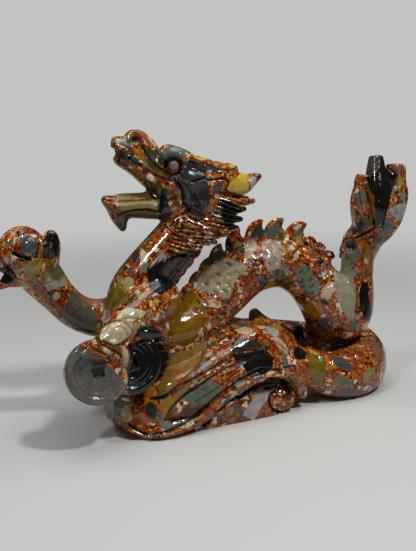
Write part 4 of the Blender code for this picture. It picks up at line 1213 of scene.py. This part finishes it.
def jasper_material(colours):
    """Polished brecciated jasper: broken fragments of every colour in a rust-red ground of fine grains.

    The polish gives sharp small highlights, and the ripple that the wheel leaves breaks them up.
    """
    material = bpy.data.materials.new("polished brecciated jasper")
    material.use_nodes = True
    tree = material.node_tree
    shader = tree.nodes["Principled BSDF"]
    shades = {name: linear(text) for name, text in PALETTE.items()}
    for name in ("dark", "red", "orange", "straw", "pale"):
        shades[f"ground_{name}"] = tuple(getattr(colours, name))
    # A place in millimetres, and the same bent a little, so that no cell's side is straight
    place = add_node(tree, "TexCoord", output="Object")
    spot = add_node(tree, "VectorMath", {"Vector": place, "Scale": 1000}, operation="SCALE")
    stir = add_node(tree, "TexNoise", {"Vector": spot, "Scale": 1 / 5, "Detail": 3}, "Color")
    centred = add_node(tree, "VectorMath", {0: stir, 1: (0.5, 0.5, 0.5)}, operation="SUBTRACT")
    shift = add_node(tree, "VectorMath", {"Vector": centred, "Scale": 5}, operation="SCALE")
    bent = add_node(tree, "VectorMath", {0: spot, 1: shift}, operation="ADD")

    # Grains, paler in some stretches than in others
    drift = add_node(tree, "TexNoise", {"Vector": spot, "Scale": 1 / 28, "Detail": 2})
    grain = add_node(tree, "TexVoronoi", {"Vector": bent, "Scale": 1 / GRAIN}, "Color")
    chance = add_node(tree, "SeparateColor", {"Color": grain}, "Red")
    pick = add_node(tree, "Math", {0: drift, 1: 0.9, 2: -0.45}, operation="MULTIPLY_ADD")
    pick = add_node(tree, "Math", {0: pick, 1: chance}, operation="ADD")
    ground = ramp_of(tree, pick, GRAIN_STOPS, shades)
    # Small fragments of three sizes over them: a share of the cells shows, inside its border
    for size, share, border, stops in GROUND_CELLS:
        cell = add_node(tree, "TexVoronoi", {"Vector": bent, "Scale": 1 / size}, "Color")
        edge = add_node(tree, "TexVoronoi", {"Vector": bent, "Scale": 1 / size}, "Distance",
                        feature="DISTANCE_TO_EDGE")
        red = add_node(tree, "SeparateColor", {"Color": cell}, "Red")
        chosen = add_node(tree, "Math", {0: red.node.outputs["Green"], 1: share}, operation="LESS_THAN")
        inside = add_node(tree, "MapRange", {"Value": edge, "From Min": border * 0.7,
                                             "From Max": border * 1.3}, interpolation_type="SMOOTHSTEP")
        shown = add_node(tree, "Math", {0: chosen, 1: inside}, operation="MULTIPLY")
        picked = ramp_of(tree, red, stops, shades)
        ground = add_node(tree, "Mix", {0: shown, 6: ground, 7: picked}, 2, data_type="RGBA")

    # Stretches of plain rust between the crowded grains
    calm = add_node(tree, "TexNoise", {"Vector": bent, "Scale": 1 / 15, "Detail": 3})
    calm = add_node(tree, "MapRange", {"Value": calm, "From Min": 0.55, "From Max": 0.63, "To Max": 0.7},
                    interpolation_type="SMOOTHSTEP")
    smoke = add_node(tree, "TexNoise", {"Vector": bent, "Scale": 1 / 4, "Detail": 5})
    smoke = add_node(tree, "MapRange", {"Value": smoke, "From Min": 0.3, "From Max": 0.7,
                                        "To Min": 0.5, "To Max": 1.5})
    rust = add_node(tree, "VectorMath", {0: tuple(colours.red), "Scale": smoke}, operation="SCALE")
    ground = add_node(tree, "Mix", {0: calm, 6: ground, 7: rust}, 2, data_type="RGBA")

    # The larger fragments, laid on the mesh, with borders a little uneven
    shade = add_node(tree, "Attribute", output="Color", attribute_name="fragment_shade")
    deep = add_node(tree, "Attribute", output="Fac", attribute_name="fragment_edge")
    uneven = add_node(tree, "TexNoise", {"Vector": spot, "Scale": 1 / 2.6, "Detail": 2})
    uneven = add_node(tree, "Math", {0: uneven, 1: 1.5, 2: -0.75}, operation="MULTIPLY_ADD")
    deep = add_node(tree, "Math", {0: deep, 1: uneven}, operation="ADD")
    inside = add_node(tree, "MapRange", {"Value": deep, "From Min": -0.15, "From Max": 0.2},
                      interpolation_type="SMOOTHSTEP")
    # Cloudy shading and thin red veins inside a fragment
    cloud = add_node(tree, "TexNoise", {"Vector": bent, "Scale": 1 / 6, "Detail": 5, "Roughness": 0.65})
    cloud = add_node(tree, "MapRange", {"Value": cloud, "From Min": 0.25, "From Max": 0.75,
                                        "To Min": 0.45, "To Max": 1.15})
    clouded = add_node(tree, "VectorMath", {"Vector": shade, "Scale": cloud}, operation="SCALE")
    crack = add_node(tree, "TexVoronoi", {"Vector": bent, "Scale": 1 / 21}, "Distance",
                     feature="DISTANCE_TO_EDGE")
    crack = add_node(tree, "MapRange", {"Value": crack, "From Min": 0.004, "From Max": 0.012,
                                        "To Min": 0.16, "To Max": 0})
    veined = add_node(tree, "Mix", {0: crack, 6: clouded, 7: (*colours.seam, 1)}, 2, data_type="RGBA")
    stone = add_node(tree, "Mix", {0: inside, 6: ground, 7: veined}, 2, data_type="RGBA")
    # The grinder leaves its grooves unpolished, and their colour darkens with depth: partly dark dust in
    # the deepest, partly painted shade
    groove = add_node(tree, "Attribute", output="Fac", attribute_name="groove_depth")
    groove_dust_and_shade = add_node(tree, "MapRange", {"Value": groove, "From Min": 0.7, "From Max": 2.6, "To Max": 0.82})
    dusted_and_shaded = add_node(tree, "Mix", {0: groove_dust_and_shade, 6: stone, 7: (*colours.dust_and_shade, 1)}, 2, data_type="RGBA")
    tree.links.new(dusted_and_shaded, shader.inputs["Base Color"])

    wear = add_node(tree, "TexNoise", {"Vector": spot, "Scale": 1 / 9, "Detail": 3})
    wear = add_node(tree, "MapRange", {"Value": wear, "From Min": 0.3, "From Max": 0.7,
                                       "To Min": 0.06, "To Max": 0.17})
    wear = add_node(tree, "Math", {0: groove_dust_and_shade, 1: 0.2, 2: wear}, operation="MULTIPLY_ADD")
    tree.links.new(wear, shader.inputs["Roughness"])
    shader.inputs["IOR"].default_value = 1.54
    ripple = add_node(tree, "TexNoise", {"Vector": spot, "Scale": 1 / 2.4, "Detail": 2})
    bump = add_node(tree, "Bump", {"Height": ripple, "Strength": 0.45, "Distance": 0.0003})
    tree.links.new(bump, shader.inputs["Normal"])
    return material


def floor_material(shade):
    """Matt pale paint, which fades out far from the carving so that the floor has no edge."""
    material = bpy.data.materials.new("matt pale paint")
    material.use_nodes = True
    tree = material.node_tree
    shader = tree.nodes["Principled BSDF"]
    shader.inputs["Base Color"].default_value = (*shade, 1)
    shader.inputs["Roughness"].default_value = 0.6
    place = add_node(tree, "TexCoord", output="Object")
    reach = add_node(tree, "VectorMath", {0: place}, "Value", operation="LENGTH")
    left = add_node(tree, "MapRange", {"Value": reach, "From Min": FLOOR_FADE[0], "From Max": FLOOR_FADE[1],
                                       "To Min": 1, "To Max": 0}, interpolation_type="SMOOTHERSTEP")
    tree.links.new(left, shader.inputs["Alpha"])
    return material


def studio_world(shade, glow):
    """A pale surround to look at, which sends only a little light of its own."""
    world = bpy.data.worlds.new("pale studio")
    world.use_nodes = True
    tree = world.node_tree
    ground = tree.nodes["Background"]
    ground.inputs["Color"].default_value = (*shade, 1)
    looked_at = add_node(tree, "LightPath", output="Is Camera Ray")
    strength = add_node(tree, "MapRange", {"Value": looked_at, "To Min": glow, "To Max": 1})
    tree.links.new(strength, ground.inputs["Strength"])
    return world


class DRAGON_OT_carve(Operator):
    """Carves the dragon, its coins and its water as one polished stone"""
    bl_idname = "jasper_dragon.carve"
    bl_label = "Carve dragon"

    def execute(self, context):
        sizes = context.scene.dragon_sizes
        place = head_matrix()
        piece = rough_out(sizes, place)
        add_details(piece, sizes, place)
        uncut = cut_strokes(piece, place, sizes)
        triangles = sum(len(face.vertices) - 2 for face in piece.data.polygons)
        apply_modifier(piece, "DECIMATE", ratio=min(1, sizes.skin_triangles / triangles))
        drop_crumbs(piece)
        level_underside(piece)
        only(piece)
        bpy.ops.object.shade_smooth_by_angle(angle=SHARP_EDGE)
        lay_fragments(piece.data)
        note_grooves(piece.data, uncut)
        piece.data.materials.clear()
        piece.data.materials.append(jasper_material(context.scene.stone_colours))
        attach(piece, "root")
        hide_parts("dragon_carving")
        return {"FINISHED"}


class DRAGON_OT_stage(Operator):
    """Adds the pale floor, the soft lights and the camera"""
    bl_idname = "jasper_dragon.stage"
    bl_label = "Add stage"

    def execute(self, context):
        stage = context.scene.stage_settings
        bpy.ops.object.select_all(action="DESELECT")
        bpy.ops.mesh.primitive_circle_add(vertices=96, radius=FLOOR_RADIUS, fill_type="NGON")
        floor = context.object
        floor.name = "floor"
        floor.data.materials.append(floor_material(stage.floor))

        for name, size, spot in LIGHTS:
            light = bpy.data.lights.new(name, "AREA")
            light.shape = "DISK"
            light.size = size
            light.energy = getattr(stage, f"{name}_power")
            lamp = bpy.data.objects.new(name, light)
            lamp.location = spot
            away = Vector(spot) - Vector((0, 0, LIT_HEIGHT))
            lamp.rotation_euler = away.to_track_quat("Z", "Y").to_euler()
            context.scene.collection.objects.link(lamp)

        context.scene.world = studio_world(stage.surround, stage.glow)

        camera = bpy.data.objects.new("camera", bpy.data.cameras.new("camera"))
        camera.data.lens = LENS
        camera.data.sensor_width = SENSOR
        camera.location = CAMERA_PLACE
        camera.rotation_euler = CAMERA_TURN
        context.scene.collection.objects.link(camera)
        context.scene.camera = camera
        context.scene.view_settings.view_transform = "Standard"
        return {"FINISHED"}


class DRAGON_PT_panel(Panel):
    """Lists the operators and settings"""
    bl_label = "Jasper dragon"
    bl_idname = "DRAGON_PT_panel"
    bl_space_type = "VIEW_3D"
    bl_region_type = "UI"
    bl_category = "Dragon"

    def draw(self, context):
        self.layout.operator(DRAGON_OT_carve.bl_idname)
        self.layout.operator(DRAGON_OT_stage.bl_idname)
        for group in SETTINGS:
            settings = getattr(context.scene, group)
            for name in settings.__annotations__:
                self.layout.prop(settings, name)


SETTINGS = {"dragon_sizes": DragonSizes, "stone_colours": StoneColours, "stage_settings": StageSettings}
CLASSES = (*SETTINGS.values(), DRAGON_OT_carve, DRAGON_OT_stage, DRAGON_PT_panel)


def register():
    """Makes the classes and the settings known."""
    for group in CLASSES:
        bpy.utils.register_class(group)
    for name, group in SETTINGS.items():
        setattr(bpy.types.Scene, name, PointerProperty(type=group))


def unregister():
    """Takes the settings and the classes away again."""
    for name in SETTINGS:
        delattr(bpy.types.Scene, name)
    for group in reversed(CLASSES):
        bpy.utils.unregister_class(group)


def main():
    """Builds the carving and its stage."""
    register()
    bpy.ops.jasper_dragon.carve()
    bpy.ops.jasper_dragon.stage()


if __name__ == "__main__":
    main()
